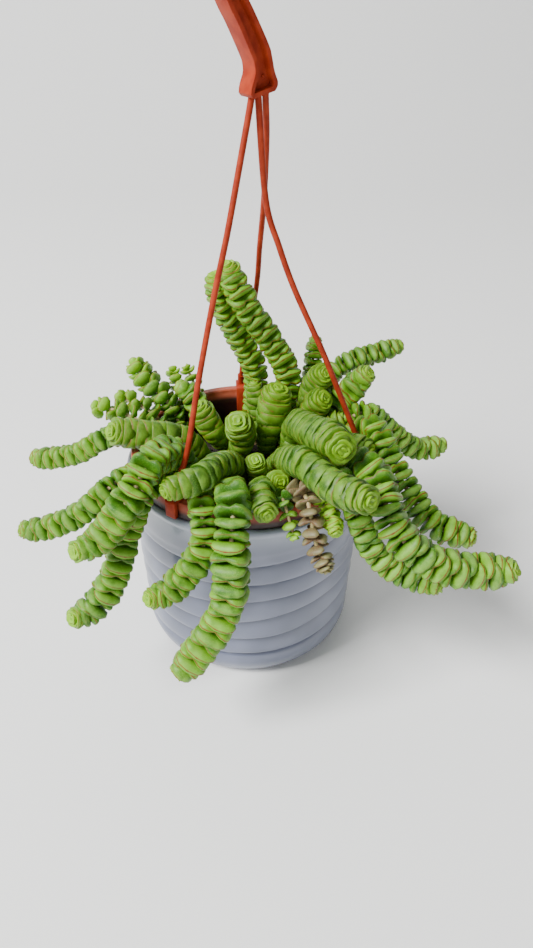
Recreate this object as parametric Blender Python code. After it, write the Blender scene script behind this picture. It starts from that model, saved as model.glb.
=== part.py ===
"""Hanging potted crassula: ceramic cover pot, nursery pot with its hanger, soil and leafy stems.

Metres, +Z up. The origin is the middle of the cover pot's flat underside, and the front is -Y.
"""

import math

import bmesh
import bpy
import numpy as np
from mathutils import Matrix

MM = 0.001
GAP = 0.3

# Cover pot, in millimetres
COVER_RIM_R = 64.2
COVER_RIM_Z = 111.5
COVER_WALL = 4.0
COVER_FOOT_R = 48.0
COVER_BOTTOM_R = 60.0
COVER_BOTTOM_Z = 12.0
COVER_FLOOR = 5.0
COVER_CORNER_R = 56.4
COVER_CORNER_Z = 3.6
COVER_LIP_LOW = 2.5
COVER_LIP_BEVEL = 1.0
COVER_LIP_FLARE = 0.4
COVER_INNER_BEVEL = 0.8
COVER_INNER_DROP = 2.0
COVER_INNER_RISE = 4.0
RIB_PITCH = 13.4
RIB_DEPTH = 1.0
RIB_TOP_Z = 93.5
RIB_COUNT = 6
ROUND_SIDES = 32

# Nursery pot
NURSERY_RIM_R = 61.0
NURSERY_RIM_Z = 120.0
NURSERY_SKIRT = 1.2
NURSERY_RIM_INNER_R = 57.5
NURSERY_BASE_R = 44.0
NURSERY_BASE_Z = 20.0
NURSERY_WALL = 1.0
NURSERY_TAPER = 0.6
NURSERY_LIP = 0.4
NURSERY_STEP = 1.0

# Soil
SOIL_EDGE_Z = 98.0
SOIL_MID_Z = 102.0
SOIL_KNEE_R = 38.0
SOIL_REACH_R = 56.0
SOIL_SIDE_GAP = 0.45
HOLE_R = 2.95
HOLE_DEPTH = 12.0
HOLE_SIDES = 6
FOOT_R = 2.2
FOOT_END_GAP = 2.0

# Hanger
STRAND_R = 1.4
STRAND_SIDES = 6
STRAND_POINTS = 12
CLIP_WIDTH = 6.0
CLIP_BLOCK = 2.5
CLIP_OUTER_Z = 112.2
CLIP_TAB_Z = 105.0
CLIP_TAB = 1.5
CLIP_BEND = 7.0
CLIP_CORNER_Z = 1.2
CLIP_ROOF_Z = 2.2
CLIP_ROUND = 1.0
CLIP_FIT = 0.1
STRAND_FOOT_R = 59.6
STRAND_FOOT_Z = 2.6
STRAND_SUNK_Z = 1.6
STRAND_RISE_R = 58.6
STRAND_RISE_Z = 7.0
HOOK_THICK = 8.5
HOOK_WEB = 3.0
HOOK_FLANGE = 2.0

# Each leg: the azimuth of its clip, where it leaves the hook, and the points that its strand passes
LEFT_WAY = [(-26, -45, 145), (-20, -36, 177), (-13, -25, 210), (-7, -17, 235), (-2, -9, 259)]
REAR_WAY = [(-3, 55, 145), (4, 41, 188), (6, 31, 214), (8, 20, 239), (9, 9, 267)]
RIGHT_WAY = [(39, -9, 172), (32, -8, 187), (22, -6, 208), (15, -4, 226), (9, -2, 245)]
LEGS = {
    "hanger_leg_left": (237.0, -3.5, LEFT_WAY),
    "hanger_leg_rear": (95.0, 3.6, REAR_WAY),
    "hanger_leg_right": (-10.0, 0.0, RIGHT_WAY),
}

# The hook: a flat plate turned about the upright line through its foot, drawn as s, z and width
HOOK_X = 5.7
HOOK_TURN = 37.0
HOOK_FOOT_Z = 283.3
HOOK_LINE = [
    (0.0, 283.6, 11.5),
    (0.0, 286.0, 13.8),
    (-0.1, 289.0, 13.0),
    (-0.9, 294.0, 9.8),
    (-5.0, 304.0, 9.0),
    (-11.0, 318.0, 9.0),
    (-16.2, 331.0, 9.0),
]
HOOK_ARC_CENTRE = (-2.2, 338.4)
HOOK_ARC_R = 15.6
HOOK_ARC_FROM = 198.0
HOOK_ARC_TO = -40.0
HOOK_ARC_STEPS = 10
HOOK_ARC_WIDTH = 9.0
HOOK_TIP_WIDTH = 6.5

# The direction that the arrangement is seen from, towards the plant
FRONT_VIEW = (0.0, 0.804, -0.595)

# Each stem: pair width, pair spacing, kind, and the points it grows through, from the soil
STEMS = {
    "stem_tall_1": (
        14.2, 6.6, "open",
        [(15, 24), (25, 30, 138), (13, 30, 163), (-1, 27, 185), (-10, 25, 207)],
    ),
    "stem_tall_2": (
        12.8, 6.0, "full",
        [(-1, 33), (4, 34, 140), (-4, 34, 162), (-12, 33, 180), (-17, 32, 200)],
    ),
    "stem_rear_1": (9.8, 5.7, "full", [(27, 38), (37, 47, 129), (38, 58, 154)]),
    "stem_rear_2": (
        11.6, 5.8, "full",
        [(38, 32), (49, 44, 136), (61, 50, 143), (75, 56, 145), (89, 62, 147)],
    ),
    "stem_rear_3": (15.5, 6.4, "open", [(45, 20), (54, 20, 128), (61, 21, 138), (66, 22, 152)]),
    "stem_centre_1": (14.8, 5.8, "full", [(30, 22), (42, 26, 126), (42, 20, 151)]),
    "stem_centre_2": (15.6, 5.8, "full", [(28, 10), (40, 13, 121), (42, 8, 143)]),
    "stem_centre_3": (13.0, 5.8, "full", [(39, 6), (52, 9, 116), (58, 8, 131)]),
    "stem_centre_4": (15.6, 5.8, "full", [(40, -12), (53, -24, 125), (65, -30, 132)]),
    "stem_centre_5": (
        17.6, 5.7, "full",
        [(22, 8), (28, 6, 128), (30, -12, 134), (33, -32, 137), (39, -44, 141), (43, -47, 148)],
    ),
    "stem_centre_6": (
        15.0, 6.2, "full",
        [(11, 4), (21, -20, 121), (29, -40, 128), (35, -56, 132), (44, -70, 137), (54, -80, 144)],
    ),
    "stem_centre_7": (12.9, 5.7, "full", [(14, -25), (17, -37, 114), (18, -46, 128)]),
    "stem_centre_8": (11.5, 5.7, "full", [(4, -20), (8, -27, 114), (5, -32, 131)]),
    "stem_centre_9": (12.9, 5.7, "full", [(12, -45), (13, -58, 124), (13, -76, 126)]),
    "stem_centre_10": (16.6, 5.7, "full", [(-10, 6), (-4, 5, 118), (-5, -3, 135)]),
    "stem_centre_11": (17.8, 5.8, "full", [(12, 16), (14, 13, 122), (17, 12, 147)]),
    "stem_centre_12": (11.0, 5.8, "full", [(4, 26), (5, 26, 122), (3, 28, 142)]),
    "stem_right_1": (
        12.6, 5.7, "full",
        [(47, 6), (66, 15, 128), (84, 20, 111), (98, 24, 99), (115, 28, 101)],
    ),
    "stem_right_2": (
        13.7, 6.4, "open",
        [(47, -1), (64, -16, 131), (75, -33, 121), (90, -48, 104), (102, -51, 99), (115, -49, 96)],
    ),
    "stem_right_3": (
        15.5, 6.6, "open",
        [(34, -24), (53, -52, 131), (66, -72, 117), (79, -77, 109), (94, -77, 102), (126, -73, 97)],
    ),
    "stem_right_4": (
        13.0, 5.6, "full",
        [(36, -30), (44, -45, 131), (52, -56, 122), (62, -62, 99), (76, -64, 87), (97, -68, 82)],
    ),
    "stem_left_1": (14.7, 5.8, "full", [(-12, 16), (-17, 9, 117), (-26, 6, 139)]),
    "stem_left_2": (15.6, 5.8, "full", [(-19, -4), (-32, -13, 129), (-49, -22, 138), (-65, -25, 142)]),
    "stem_left_3": (11.8, 5.8, "full", [(-34, 8), (-66, -8, 126), (-92, -3, 112), (-119, 5, 103)]),
    "stem_left_4": (
        11.8, 6.1, "open",
        [(-36, -12), (-58, -48, 122), (-79, -52, 109), (-98, -51, 101), (-111, -49, 98)],
    ),
    "stem_left_5": (
        15.2, 6.4, "open",
        [(-24, -18), (-41, -53, 137), (-49, -67, 130), (-63, -70, 112), (-79, -73, 101)],
    ),
    "stem_left_6": (
        14.2, 6.5, "open",
        [(-31, -30), (-45, -56, 127), (-54, -58, 109), (-66, -67, 78), (-84, -75, 59)],
    ),
    "stem_left_7": (12.6, 5.8, "full", [(1, -6), (-6, -35, 126), (-17, -62, 133), (-35, -67, 136)]),
    "stem_front_1": (
        13.6, 6.2, "open",
        [(-11, -40), (-9, -65, 126), (-14, -77, 109), (-31, -79, 90), (-44, -81, 82)],
    ),
    "stem_front_2": (
        16.4, 6.8, "open",
        [(2, -37), (4, -66, 130), (-1, -84, 118), (-7, -91, 86), (-32, -97, 47)],
    ),
    "stem_back_1": (15.0, 5.6, "open", [(-30, 24), (-45, 34, 120), (-58, 42, 133), (-65, 46, 143)]),
    "stem_back_2": (9.6, 5.7, "full", [(-30, 37), (-40, 44, 122), (-45, 50, 138)]),
    "stem_back_3": (9.6, 5.7, "full", [(-22, 38), (-33, 44, 122), (-37, 50, 138)]),
    "stem_back_4": (12.0, 5.4, "open", [(-38, 16), (-64, 24, 122), (-74, 30, 130)]),
    "stem_back_5": (12.0, 5.4, "open", [(-42, 2), (-70, 12, 124), (-86, 20, 128)]),
    "stem_back_6": (14.0, 5.8, "full", [(-20, 26), (-38, 34, 119), (-49, 36, 131)]),
    "stem_withered": (11.5, 5.4, "open", [(28, -40), (31, -66, 123), (34, -71, 106), (41, -76, 93)]),
    "stem_small_1": (9.4, 5.8, "full", [(31, -36), (37, -48, 127), (42, -60, 121), (43, -70, 116)]),
    "stem_small_2": (8.4, 5.6, "full", [(22, -43), (24, -63, 123), (26, -73, 108)]),
    "stem_small_3": (9.6, 4.8, "full", [(-32, -2), (-34, -2, 113)]),
    "stem_small_4": (8.0, 4.8, "full", [(48, 1), (59, 0, 121), (63, 0, 127)]),
    "stem_small_5": (10.5, 4.8, "full", [(32, -12), (46, -30, 122), (57, -37, 125)]),
    "stem_small_6": (9.5, 4.8, "full", [(20, 34), (29, 38, 124)]),
    "stem_small_7": (9.5, 4.8, "full", [(18, 12), (23, 16, 122)]),
}
BARE_FOOT = 3.0
BASE_WIDTH = 0.58
BASE_RUN = 38.0
TIP_GROWTH = (0.30, 0.52, 0.72, 0.88)
TIP_CLOSING = (0.4, 0.55, 0.75, 0.9)
ROOT_SPREAD = 1.8
ROOT_RUN = 26.0
SETTLE_STEPS = 520
EASE_PART = 0.78
PUSH_APART = 0.4
ROOT_LIMIT_R = 48.0
CLEARANCE = 0.6
RIM_EDGES_R = (56.4, 60.4)
RIM_SHARE = 1.12
FLOOR_CLEARANCE = 1.0

# What the stems keep off: lines in (r, z), and how thick the thing round each line is
RIM_WALL_LINE = ((58.6, 118.3), (56.4, 98.0))
RIM_TOP_LINE = ((58.6, 118.3), (59.8, 118.3))
RIM_THICK = 2.8
COVER_LINE = ((62.2, 109.5), (58.0, 12.0))
COVER_THICK = 2.2
CLIP_OUTER_LINE = ((62.6, 113.0), (62.6, 119.0))
CLIP_INNER_LINE = ((54.5, 107.0), (57.0, 119.0))
CLIP_THICK = 3.8
SOIL_OUTER_R = 57.0
SOIL_CLEARANCE = 1.2
FLAT_SHARE = 1.05

# How strongly each rule moves the pairs in one step
DRAW_ACROSS = 0.10
DRAW_ALONG = 0.02
PUSH_OFF = 0.8
PUSH_OVER = 0.6
STIFF_LEAST = 0.15
STIFF_MORE = 0.3
STRETCH_BACK = 0.4

# Leaf pair sections: lobe length at each eighth of a turn, as parts of the pair's half width
PAIR_LOBES = (1.0, 0.84, 0.5, 0.84)
OPEN_WAIST = 0.34
FULL_LEAST = 0.62
LEAF_CUP = 0.14

COLOURS = {
    "ceramic": (0.55, 0.60, 0.70, 0.35),
    "terracotta": (0.45, 0.11, 0.06, 0.5),
    "hanger": (0.52, 0.10, 0.05, 0.45),
    "soil": (0.025, 0.017, 0.012, 0.95),
    "leaf": (0.13, 0.33, 0.05, 0.5),
    "withered": (0.30, 0.20, 0.13, 0.7),
}


def clear_scene():
    for obj in list(bpy.data.objects):
        bpy.data.objects.remove(obj, do_unlink=True)


def material(name):
    found = bpy.data.materials.get(name)
    if found:
        return found
    made = bpy.data.materials.new(name)
    made.use_nodes = True
    red, green, blue, roughness = COLOURS[name]
    shader = made.node_tree.nodes["Principled BSDF"]
    shader.inputs["Base Color"].default_value = (red, green, blue, 1.0)
    shader.inputs["Roughness"].default_value = roughness
    made.diffuse_color = (red, green, blue, 1.0)
    return made


def add_object(name, bm, look, smooth_angle=None):
    """Makes an object from a bmesh in millimetres."""
    bmesh.ops.scale(bm, vec=(MM, MM, MM), verts=bm.verts)
    bmesh.ops.recalc_face_normals(bm, faces=bm.faces)
    mesh = bpy.data.meshes.new(name)
    bm.to_mesh(mesh)
    bm.free()
    mesh.materials.append(material(look))
    if smooth_angle is not None:
        mesh.shade_smooth()
        mesh.set_sharp_from_angle(angle=math.radians(smooth_angle))
    obj = bpy.data.objects.new(name, mesh)
    bpy.context.scene.collection.objects.link(obj)
    return obj


def turned(profile, sides=ROUND_SIDES):
    """A closed profile of (r, z) points turned round the Z axis. Points with r of 0 close its ends."""
    bm = bmesh.new()
    angles = [2 * math.pi * step / sides for step in range(sides)]
    rings = []
    for r, z in profile:
        if r == 0:
            rings.append([bm.verts.new((0, 0, z))])
        else:
            rings.append([bm.verts.new((r * math.cos(a), r * math.sin(a), z)) for a in angles])
    for low, high in zip(rings, rings[1:]):
        for step in range(sides):
            after = (step + 1) % sides
            corners = [low[step % len(low)], low[after % len(low)]]
            corners += [high[after % len(high)], high[step % len(high)]]
            bm.faces.new(list(dict.fromkeys(corners)))
    return bm


def cover_wall_r(z):
    """The cover pot's outer radius without its ribs."""
    part = (z - COVER_BOTTOM_Z) / (COVER_RIM_Z - COVER_BOTTOM_Z)
    return COVER_BOTTOM_R + (COVER_RIM_R - COVER_LIP_FLARE - COVER_BOTTOM_R) * part


def cover_pot():
    profile = [
        (0, 0),
        (COVER_FOOT_R, 0),
        (COVER_CORNER_R, COVER_CORNER_Z),
        (COVER_BOTTOM_R, COVER_BOTTOM_Z),
    ]
    low = RIB_TOP_Z - RIB_PITCH * RIB_COUNT
    for rib in range(RIB_COUNT):
        trough = low + RIB_PITCH * (rib + 0.5)
        profile.append((cover_wall_r(trough) - RIB_DEPTH, trough))
        crest = trough + RIB_PITCH / 2
        profile.append((cover_wall_r(crest), crest))
    inner_rim = COVER_RIM_R - COVER_WALL
    profile += [
        (COVER_RIM_R, COVER_RIM_Z - COVER_LIP_LOW),
        (COVER_RIM_R - COVER_LIP_BEVEL, COVER_RIM_Z),
        (inner_rim + COVER_INNER_BEVEL, COVER_RIM_Z),
        (inner_rim, COVER_RIM_Z - COVER_INNER_DROP),
        (COVER_BOTTOM_R - COVER_WALL, COVER_BOTTOM_Z + COVER_INNER_RISE),
        (COVER_FOOT_R, COVER_FLOOR),
        (0, COVER_FLOOR),
    ]
    add_object("cover_pot", turned(profile), "ceramic", 35)


def nursery_profile():
    """A thin tapered wall with a rim that hangs over the cover pot's edge as a short skirt."""
    rim_low = COVER_RIM_Z + GAP
    top = NURSERY_RIM_Z
    skirt_inner = NURSERY_RIM_R - NURSERY_SKIRT
    inner = NURSERY_RIM_INNER_R - NURSERY_WALL
    return [
        (0, NURSERY_BASE_Z),
        (NURSERY_BASE_R, NURSERY_BASE_Z),
        (NURSERY_RIM_INNER_R - NURSERY_TAPER, rim_low - NURSERY_STEP),
        (NURSERY_RIM_INNER_R, top - NURSERY_SKIRT),
        (skirt_inner, top - NURSERY_SKIRT),
        (skirt_inner + NURSERY_LIP, rim_low),
        (NURSERY_RIM_R + NURSERY_TAPER, rim_low),
        (NURSERY_RIM_R, top - NURSERY_LIP),
        (NURSERY_RIM_R - NURSERY_LIP, top),
        (inner + NURSERY_LIP, top),
        (inner, top - NURSERY_LIP),
        (inner - NURSERY_TAPER, rim_low - NURSERY_STEP),
        (NURSERY_BASE_R - NURSERY_WALL, NURSERY_BASE_Z + NURSERY_WALL),
        (0, NURSERY_BASE_Z + NURSERY_WALL),
    ]


def nursery_pot():
    add_object("nursery_pot", turned(nursery_profile()), "terracotta", 35)


def nursery_inner_r(z):
    """The nursery pot's inner radius under its rim."""
    low_r = NURSERY_BASE_R - NURSERY_WALL
    low_z = NURSERY_BASE_Z + NURSERY_WALL
    high_r = NURSERY_RIM_INNER_R - NURSERY_TAPER - NURSERY_WALL
    high_z = COVER_RIM_Z + GAP - NURSERY_STEP
    return low_r + (high_r - low_r) * (z - low_z) / (high_z - low_z)


def soil_height(r):
    """The soil's top, highest in the middle."""
    return SOIL_MID_Z - (SOIL_MID_Z - SOIL_EDGE_Z) * (r / SOIL_REACH_R) ** 2


def hole_cutters(roots):
    """A collection of upright cutters, one at each root."""
    holder = bpy.data.collections.new("hole_cutters")
    bpy.context.scene.collection.children.link(holder)
    for index, (x, y) in enumerate(roots):
        low = soil_height(math.hypot(x, y)) - HOLE_DEPTH
        high = low + 2 * HOLE_DEPTH
        bm = turned([(0, low), (HOLE_R, low), (HOLE_R, high), (0, high)], HOLE_SIDES)
        bmesh.ops.translate(bm, vec=(x, y, 0), verts=bm.verts)
        cutter = add_object(f"hole_cutter_{index}", bm, "soil")
        cutter.hide_render = True
        cutter.display_type = "WIRE"
        bpy.context.scene.collection.objects.unlink(cutter)
        holder.objects.link(cutter)
    return holder


def soil(roots):
    low = NURSERY_BASE_Z + NURSERY_WALL + GAP
    profile = [
        (0, low),
        (nursery_inner_r(low) - SOIL_SIDE_GAP, low),
        (nursery_inner_r(SOIL_EDGE_Z) - SOIL_SIDE_GAP, SOIL_EDGE_Z),
        (SOIL_KNEE_R, soil_height(SOIL_KNEE_R)),
        (0, SOIL_MID_Z),
    ]
    made = add_object("soil", turned(profile), "soil")
    cut = made.modifiers.new("holes", "BOOLEAN")
    cut.operand_type = "COLLECTION"
    cut.collection = hole_cutters(roots)
    cut.solver = "EXACT"


def hook_place(along):
    """The x and y of a point this far along the hook's plate from its foot."""
    angle = math.radians(HOOK_TURN)
    return HOOK_X + along * math.cos(angle), along * math.sin(angle)


def hook_line():
    """The hook's middle line as (s, z, width): the shank, then the arc over the top."""
    line = list(HOOK_LINE)
    for step in range(HOOK_ARC_STEPS + 1):
        part = step / HOOK_ARC_STEPS
        angle = math.radians(HOOK_ARC_FROM + (HOOK_ARC_TO - HOOK_ARC_FROM) * part)
        x = HOOK_ARC_CENTRE[0] + HOOK_ARC_R * math.cos(angle)
        z = HOOK_ARC_CENTRE[1] + HOOK_ARC_R * math.sin(angle)
        width = HOOK_ARC_WIDTH + (HOOK_TIP_WIDTH - HOOK_ARC_WIDTH) * max(0.0, part - 0.5) * 2
        line.append((x, z, width))
    return line


def hook_edges():
    """The points on either side of the hook's middle line."""
    line = hook_line()
    lefts = []
    rights = []
    for index, (x, z, width) in enumerate(line):
        before = line[max(index - 1, 0)]
        after = line[min(index + 1, len(line) - 1)]
        along = np.array([after[0] - before[0], after[1] - before[1]])
        along = along / np.linalg.norm(along)
        if index == 0:
            along = np.array([0.0, 1.0])
        side = np.array([-along[1], along[0]]) * width / 2
        lefts.append((x + side[0], z + side[1]))
        rights.append((x - side[0], z - side[1]))
    return lefts, rights


def hook():
    """A flat plate along the line, with a recessed web on both faces."""
    lefts, rights = hook_edges()
    bm = bmesh.new()
    half = HOOK_THICK / 2
    sides = {}
    for y in (-half, half):
        sides[y] = []
        for (left_x, left_z), (right_x, right_z) in zip(lefts, rights):
            sides[y].append((bm.verts.new((left_x, y, left_z)), bm.verts.new((right_x, y, right_z))))
    plates = {}
    for y, pairs in sides.items():
        plates[y] = [bm.faces.new((a[0], a[1], b[1], b[0])) for a, b in zip(pairs, pairs[1:])]
    front, back = sides[-half], sides[half]
    for edge in (0, 1):
        for step in range(len(front) - 1):
            near, far = front[step][edge], front[step + 1][edge]
            bm.faces.new((near, far, back[step + 1][edge], back[step][edge]))
    for end in (0, -1):
        bm.faces.new((front[end][0], front[end][1], back[end][1], back[end][0]))
    bmesh.ops.recalc_face_normals(bm, faces=bm.faces)
    for y, faces in plates.items():
        bmesh.ops.inset_region(bm, faces=faces, thickness=HOOK_FLANGE, use_even_offset=True)
        moved = {vert for face in faces for vert in face.verts}
        depth = half - HOOK_WEB / 2
        bmesh.ops.translate(bm, vec=(0, math.copysign(depth, -y), 0), verts=list(moved))
    bmesh.ops.rotate(bm, verts=bm.verts, matrix=Matrix.Rotation(math.radians(HOOK_TURN), 3, "Z"))
    bmesh.ops.translate(bm, vec=(HOOK_X, 0, 0), verts=bm.verts)
    add_object("hook", bm, "hanger", 35)


def smooth_path(points, steps):
    """Points along a Catmull-Rom curve through the given ones, at the parts of its length in steps."""
    points = np.array(points, float)
    ends = np.vstack([2 * points[0] - points[1], points, 2 * points[-1] - points[-2]])
    fine = []
    for a, b, c, d in zip(ends, ends[1:], ends[2:], ends[3:]):
        slope = (c - a) / 2
        curve = (2 * a - 5 * b + 4 * c - d) / 2
        turn = (3 * b - a - 3 * c + d) / 2
        for t in np.linspace(0, 1, 24, endpoint=False):
            fine.append(b + slope * t + curve * t**2 + turn * t**3)
    fine.append(points[-1])
    fine = np.array(fine)
    run = np.concatenate([[0], np.cumsum(np.linalg.norm(np.diff(fine, axis=0), axis=1))])
    if callable(steps):
        steps = steps(run[-1])
    return np.stack([np.interp(steps * run[-1], run, fine[:, axis]) for axis in range(3)], 1)


def pair_steps(length, pitch):
    """Where the pairs come along a stem of this length, close at the tip and sparse at the soil."""
    places = [0.0]
    while places[-1] < length:
        index = len(places) - 1
        closing = TIP_CLOSING[index] if index < len(TIP_CLOSING) else 1.0
        spread = ROOT_SPREAD if places[-1] > length - ROOT_RUN else 1.0
        places.append(places[-1] + pitch * closing * spread)
    places = np.array(places[::-1])
    return 1.0 - places / places[0]


def rotated_frames(path, first_side):
    """A side direction at each point, carried along the path without twist."""
    tangents = np.gradient(path, axis=0)
    tangents /= np.linalg.norm(tangents, axis=1)[:, None]
    middle = len(path) // 2
    side = np.cross(tangents[middle], first_side)
    side /= np.linalg.norm(side)
    sides = np.zeros_like(path)
    sides[middle] = side
    for order in (range(middle + 1, len(path)), range(middle - 1, -1, -1)):
        last = side
        for index in order:
            last = last - tangents[index] * (last @ tangents[index])
            last = last / np.linalg.norm(last)
            sides[index] = last
    return tangents, sides


def loft(bm, rings):
    """Joins rings of the same number of points, and closes both ends."""
    made = [[bm.verts.new(point) for point in ring] for ring in rings]
    sides = len(made[0])
    for low, high in zip(made, made[1:]):
        for step in range(sides):
            after = (step + 1) % sides
            bm.faces.new((low[step], low[after], high[after], high[step]))
    bm.faces.new(made[0][::-1])
    bm.faces.new(made[-1])


def clip_point(azimuth, r, z):
    angle = math.radians(azimuth)
    return (r * math.cos(angle), r * math.sin(angle), z)


def strand_route(name):
    azimuth, along, way = LEGS[name]
    start = clip_point(azimuth, STRAND_FOOT_R, NURSERY_RIM_Z + STRAND_FOOT_Z)
    rise = clip_point(azimuth, STRAND_RISE_R, NURSERY_RIM_Z + STRAND_RISE_Z)
    x, y = hook_place(along)
    return [start, rise, *way, (x, y, HOOK_FOOT_Z)]


def clip_outline():
    """The saddle clip over the rim, as (r, z) points round its side."""
    outer = NURSERY_RIM_R + NURSERY_TAPER + GAP
    top = NURSERY_RIM_Z + GAP
    flat_loss = NURSERY_RIM_R * (1 - math.cos(math.pi / ROUND_SIDES)) + CLIP_FIT
    inner = NURSERY_RIM_INNER_R - NURSERY_WALL - GAP - flat_loss
    tab = nursery_inner_r(CLIP_TAB_Z) - GAP - flat_loss
    bend = NURSERY_RIM_Z - CLIP_BEND
    return [
        (outer, CLIP_OUTER_Z),
        (outer + CLIP_BLOCK, CLIP_OUTER_Z),
        (outer + CLIP_BLOCK, top + CLIP_CORNER_Z),
        (outer + CLIP_BLOCK - CLIP_ROUND, top + CLIP_ROOF_Z),
        (inner - CLIP_TAB + CLIP_ROUND, top + CLIP_ROOF_Z),
        (inner - CLIP_TAB, top + CLIP_CORNER_Z),
        (tab - CLIP_TAB, CLIP_TAB_Z),
        (tab, CLIP_TAB_Z),
        (nursery_inner_r(bend) - GAP - flat_loss, bend),
        (inner, top),
        (outer, top),
    ]


def hanger_leg(name):
    """A round strand and the clip at its foot, joined into one solid."""
    azimuth = LEGS[name][0]
    angle = math.radians(azimuth)
    bm = bmesh.new()
    rings = []
    for across in (-CLIP_WIDTH / 2, CLIP_WIDTH / 2):
        ring = []
        for r, z in clip_outline():
            x = r * math.cos(angle) - across * math.sin(angle)
            y = r * math.sin(angle) + across * math.cos(angle)
            ring.append((x, y, z))
        rings.append(ring)
    loft(bm, rings)
    clip = add_object(name, bm, "hanger", 35)

    bm = bmesh.new()
    path = smooth_path(strand_route(name), np.linspace(0, 1, STRAND_POINTS))
    path[0] = clip_point(azimuth, STRAND_FOOT_R, NURSERY_RIM_Z + STRAND_SUNK_Z)
    tangents, sides = rotated_frames(path, (0.0, 1.0, 0.0))
    tangents[-1] = (0, 0, 1)
    rings = []
    for point, along, side in zip(path, tangents, sides):
        other = np.cross(along, side)
        turn = [2 * math.pi * step / STRAND_SIDES for step in range(STRAND_SIDES)]
        rings.append([point + STRAND_R * (side * math.cos(a) + other * math.sin(a)) for a in turn])
    rings[-1] = [(x, y, HOOK_FOOT_Z) for x, y, z in rings[-1]]
    loft(bm, rings)
    strand = add_object(name + "_strand", bm, "hanger", 35)
    strand.hide_render = True
    strand.display_type = "WIRE"
    joined = clip.modifiers.new("strand", "BOOLEAN")
    joined.operation = "UNION"
    joined.object = strand
    joined.solver = "EXACT"


def planned_chains():
    """For each stem: its leaf pairs' places and half widths, from the points it grows through."""
    chains = {}
    for name, (width, pitch, kind, points) in STEMS.items():
        x, y = points[0]
        root = (x, y, soil_height(math.hypot(x, y)) + BARE_FOOT)
        places = smooth_path([root, *points[1:]], lambda length: pair_steps(length, pitch))
        run = np.linalg.norm(places - places[0], axis=1)
        grown = np.clip(run / min(BASE_RUN, 0.6 * run.max()), 0, 1)
        half = width / 2 * (BASE_WIDTH + (1 - BASE_WIDTH) * grown)
        for index, part in enumerate(TIP_GROWTH[: len(half)]):
            half[-1 - index] *= part
        chains[name] = (places, half)
    return chains


def distance_to_segment(points, start, end):
    """The offset from the nearest point of a segment, for each point."""
    start = np.array(start, float)
    run = np.array(end, float) - start
    part = np.clip((points - start) @ run / (run @ run), 0, 1)
    return points - (start + part[:, None] * run)


def push_from(offsets, wanted):
    """The move that brings each offset out to the wanted distance."""
    length = np.linalg.norm(offsets, axis=1)
    short = np.maximum(0, wanted - length)
    return offsets / np.maximum(length, 1e-6)[:, None] * short[:, None]


def push_from_pots(places, half):
    """Keeps the pairs off the rims and walls, which are worked out in (r, z)."""
    r = np.hypot(places[:, 0], places[:, 1])
    flat = np.stack([r, places[:, 2]], 1)
    moves = np.zeros_like(flat)
    lines = ((RIM_WALL_LINE, RIM_THICK), (RIM_TOP_LINE, RIM_THICK), (COVER_LINE, COVER_THICK))
    for line, thick in lines:
        moves += push_from(distance_to_segment(flat + moves, *line), half + thick + CLEARANCE)
    spoke = places[:, :2] / np.maximum(r, 1e-6)[:, None]
    return np.column_stack([spoke * moves[:, :1], moves[:, 1]])


def push_from_soil(places, half, tangents):
    """A level pair needs little room over the soil, and an upright one needs its half width."""
    lean = np.hypot(tangents[:, 0], tangents[:, 1])
    r = np.hypot(places[:, 0], places[:, 1])
    wanted = soil_height(r) + half * lean + SOIL_CLEARANCE
    lift = np.where(r < SOIL_OUTER_R, np.maximum(0, wanted - places[:, 2]), 0)
    lift = np.maximum(lift, half * FLAT_SHARE + FLOOR_CLEARANCE - places[:, 2])
    moves = np.zeros_like(places)
    moves[:, 2] = lift
    return moves


def push_from_hanger(places, half):
    moves = np.zeros_like(places)
    for name, (azimuth, along, way) in LEGS.items():
        route = strand_route(name)
        for start, end in zip(route, route[1:]):
            moves += push_from(distance_to_segment(places, start, end), half + STRAND_R + CLEARANCE)
        for low, high in (CLIP_OUTER_LINE, CLIP_INNER_LINE):
            ends = (clip_point(azimuth, *low), clip_point(azimuth, *high))
            moves += push_from(distance_to_segment(places, *ends), half + CLIP_THICK)
    return moves


def push_from_each_other(places, half, owner):
    """Only pairs of different stems that are near enough to touch are worked out."""
    wanted = half[:, None] + half[None, :] + CLEARANCE
    square = (places**2).sum(axis=1)
    apart = square[:, None] + square[None, :] - 2 * places @ places.T
    near, far = np.nonzero((apart < wanted**2) & (owner[:, None] != owner[None, :]))
    moves = np.zeros_like(places)
    np.add.at(moves, near, push_from(places[near] - places[far], wanted[near, far]))
    return moves


def clear_stretches(places, half, owner):
    """Lifts a stretch between two pairs over the rim, and keeps it off the pots and the hanger."""
    r = np.hypot(places[:, 0], places[:, 1])
    rise = np.maximum(r[1:] - r[:-1], 1e-6)
    between = np.maximum(half[1:], half[:-1])
    joined = owner[1:] == owner[:-1]
    lift = np.zeros(len(between))
    over_rim = np.zeros(len(between), bool)
    for edge in RIM_EDGES_R:
        part = np.clip((edge - r[:-1]) / rise, 0, 1)
        height = places[:-1, 2] + part * (places[1:, 2] - places[:-1, 2])
        crosses = (r[:-1] < edge) & (r[1:] >= edge) & joined
        wanted = NURSERY_RIM_Z + RIM_SHARE * between + CLEARANCE
        lift = np.maximum(lift, np.where(crosses, wanted - height, 0))
        over_rim |= crosses
    moves = np.zeros_like(places)
    moves[:-1, 2] += lift
    moves[1:, 2] += lift
    middles = (places[1:] + places[:-1]) / 2
    aside = push_from_hanger(middles, between)
    aside[~over_rim] += push_from_pots(middles, between)[~over_rim]
    aside[~joined] = 0
    moves[:-1] += aside / 2
    moves[1:] += aside / 2
    return moves


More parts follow.
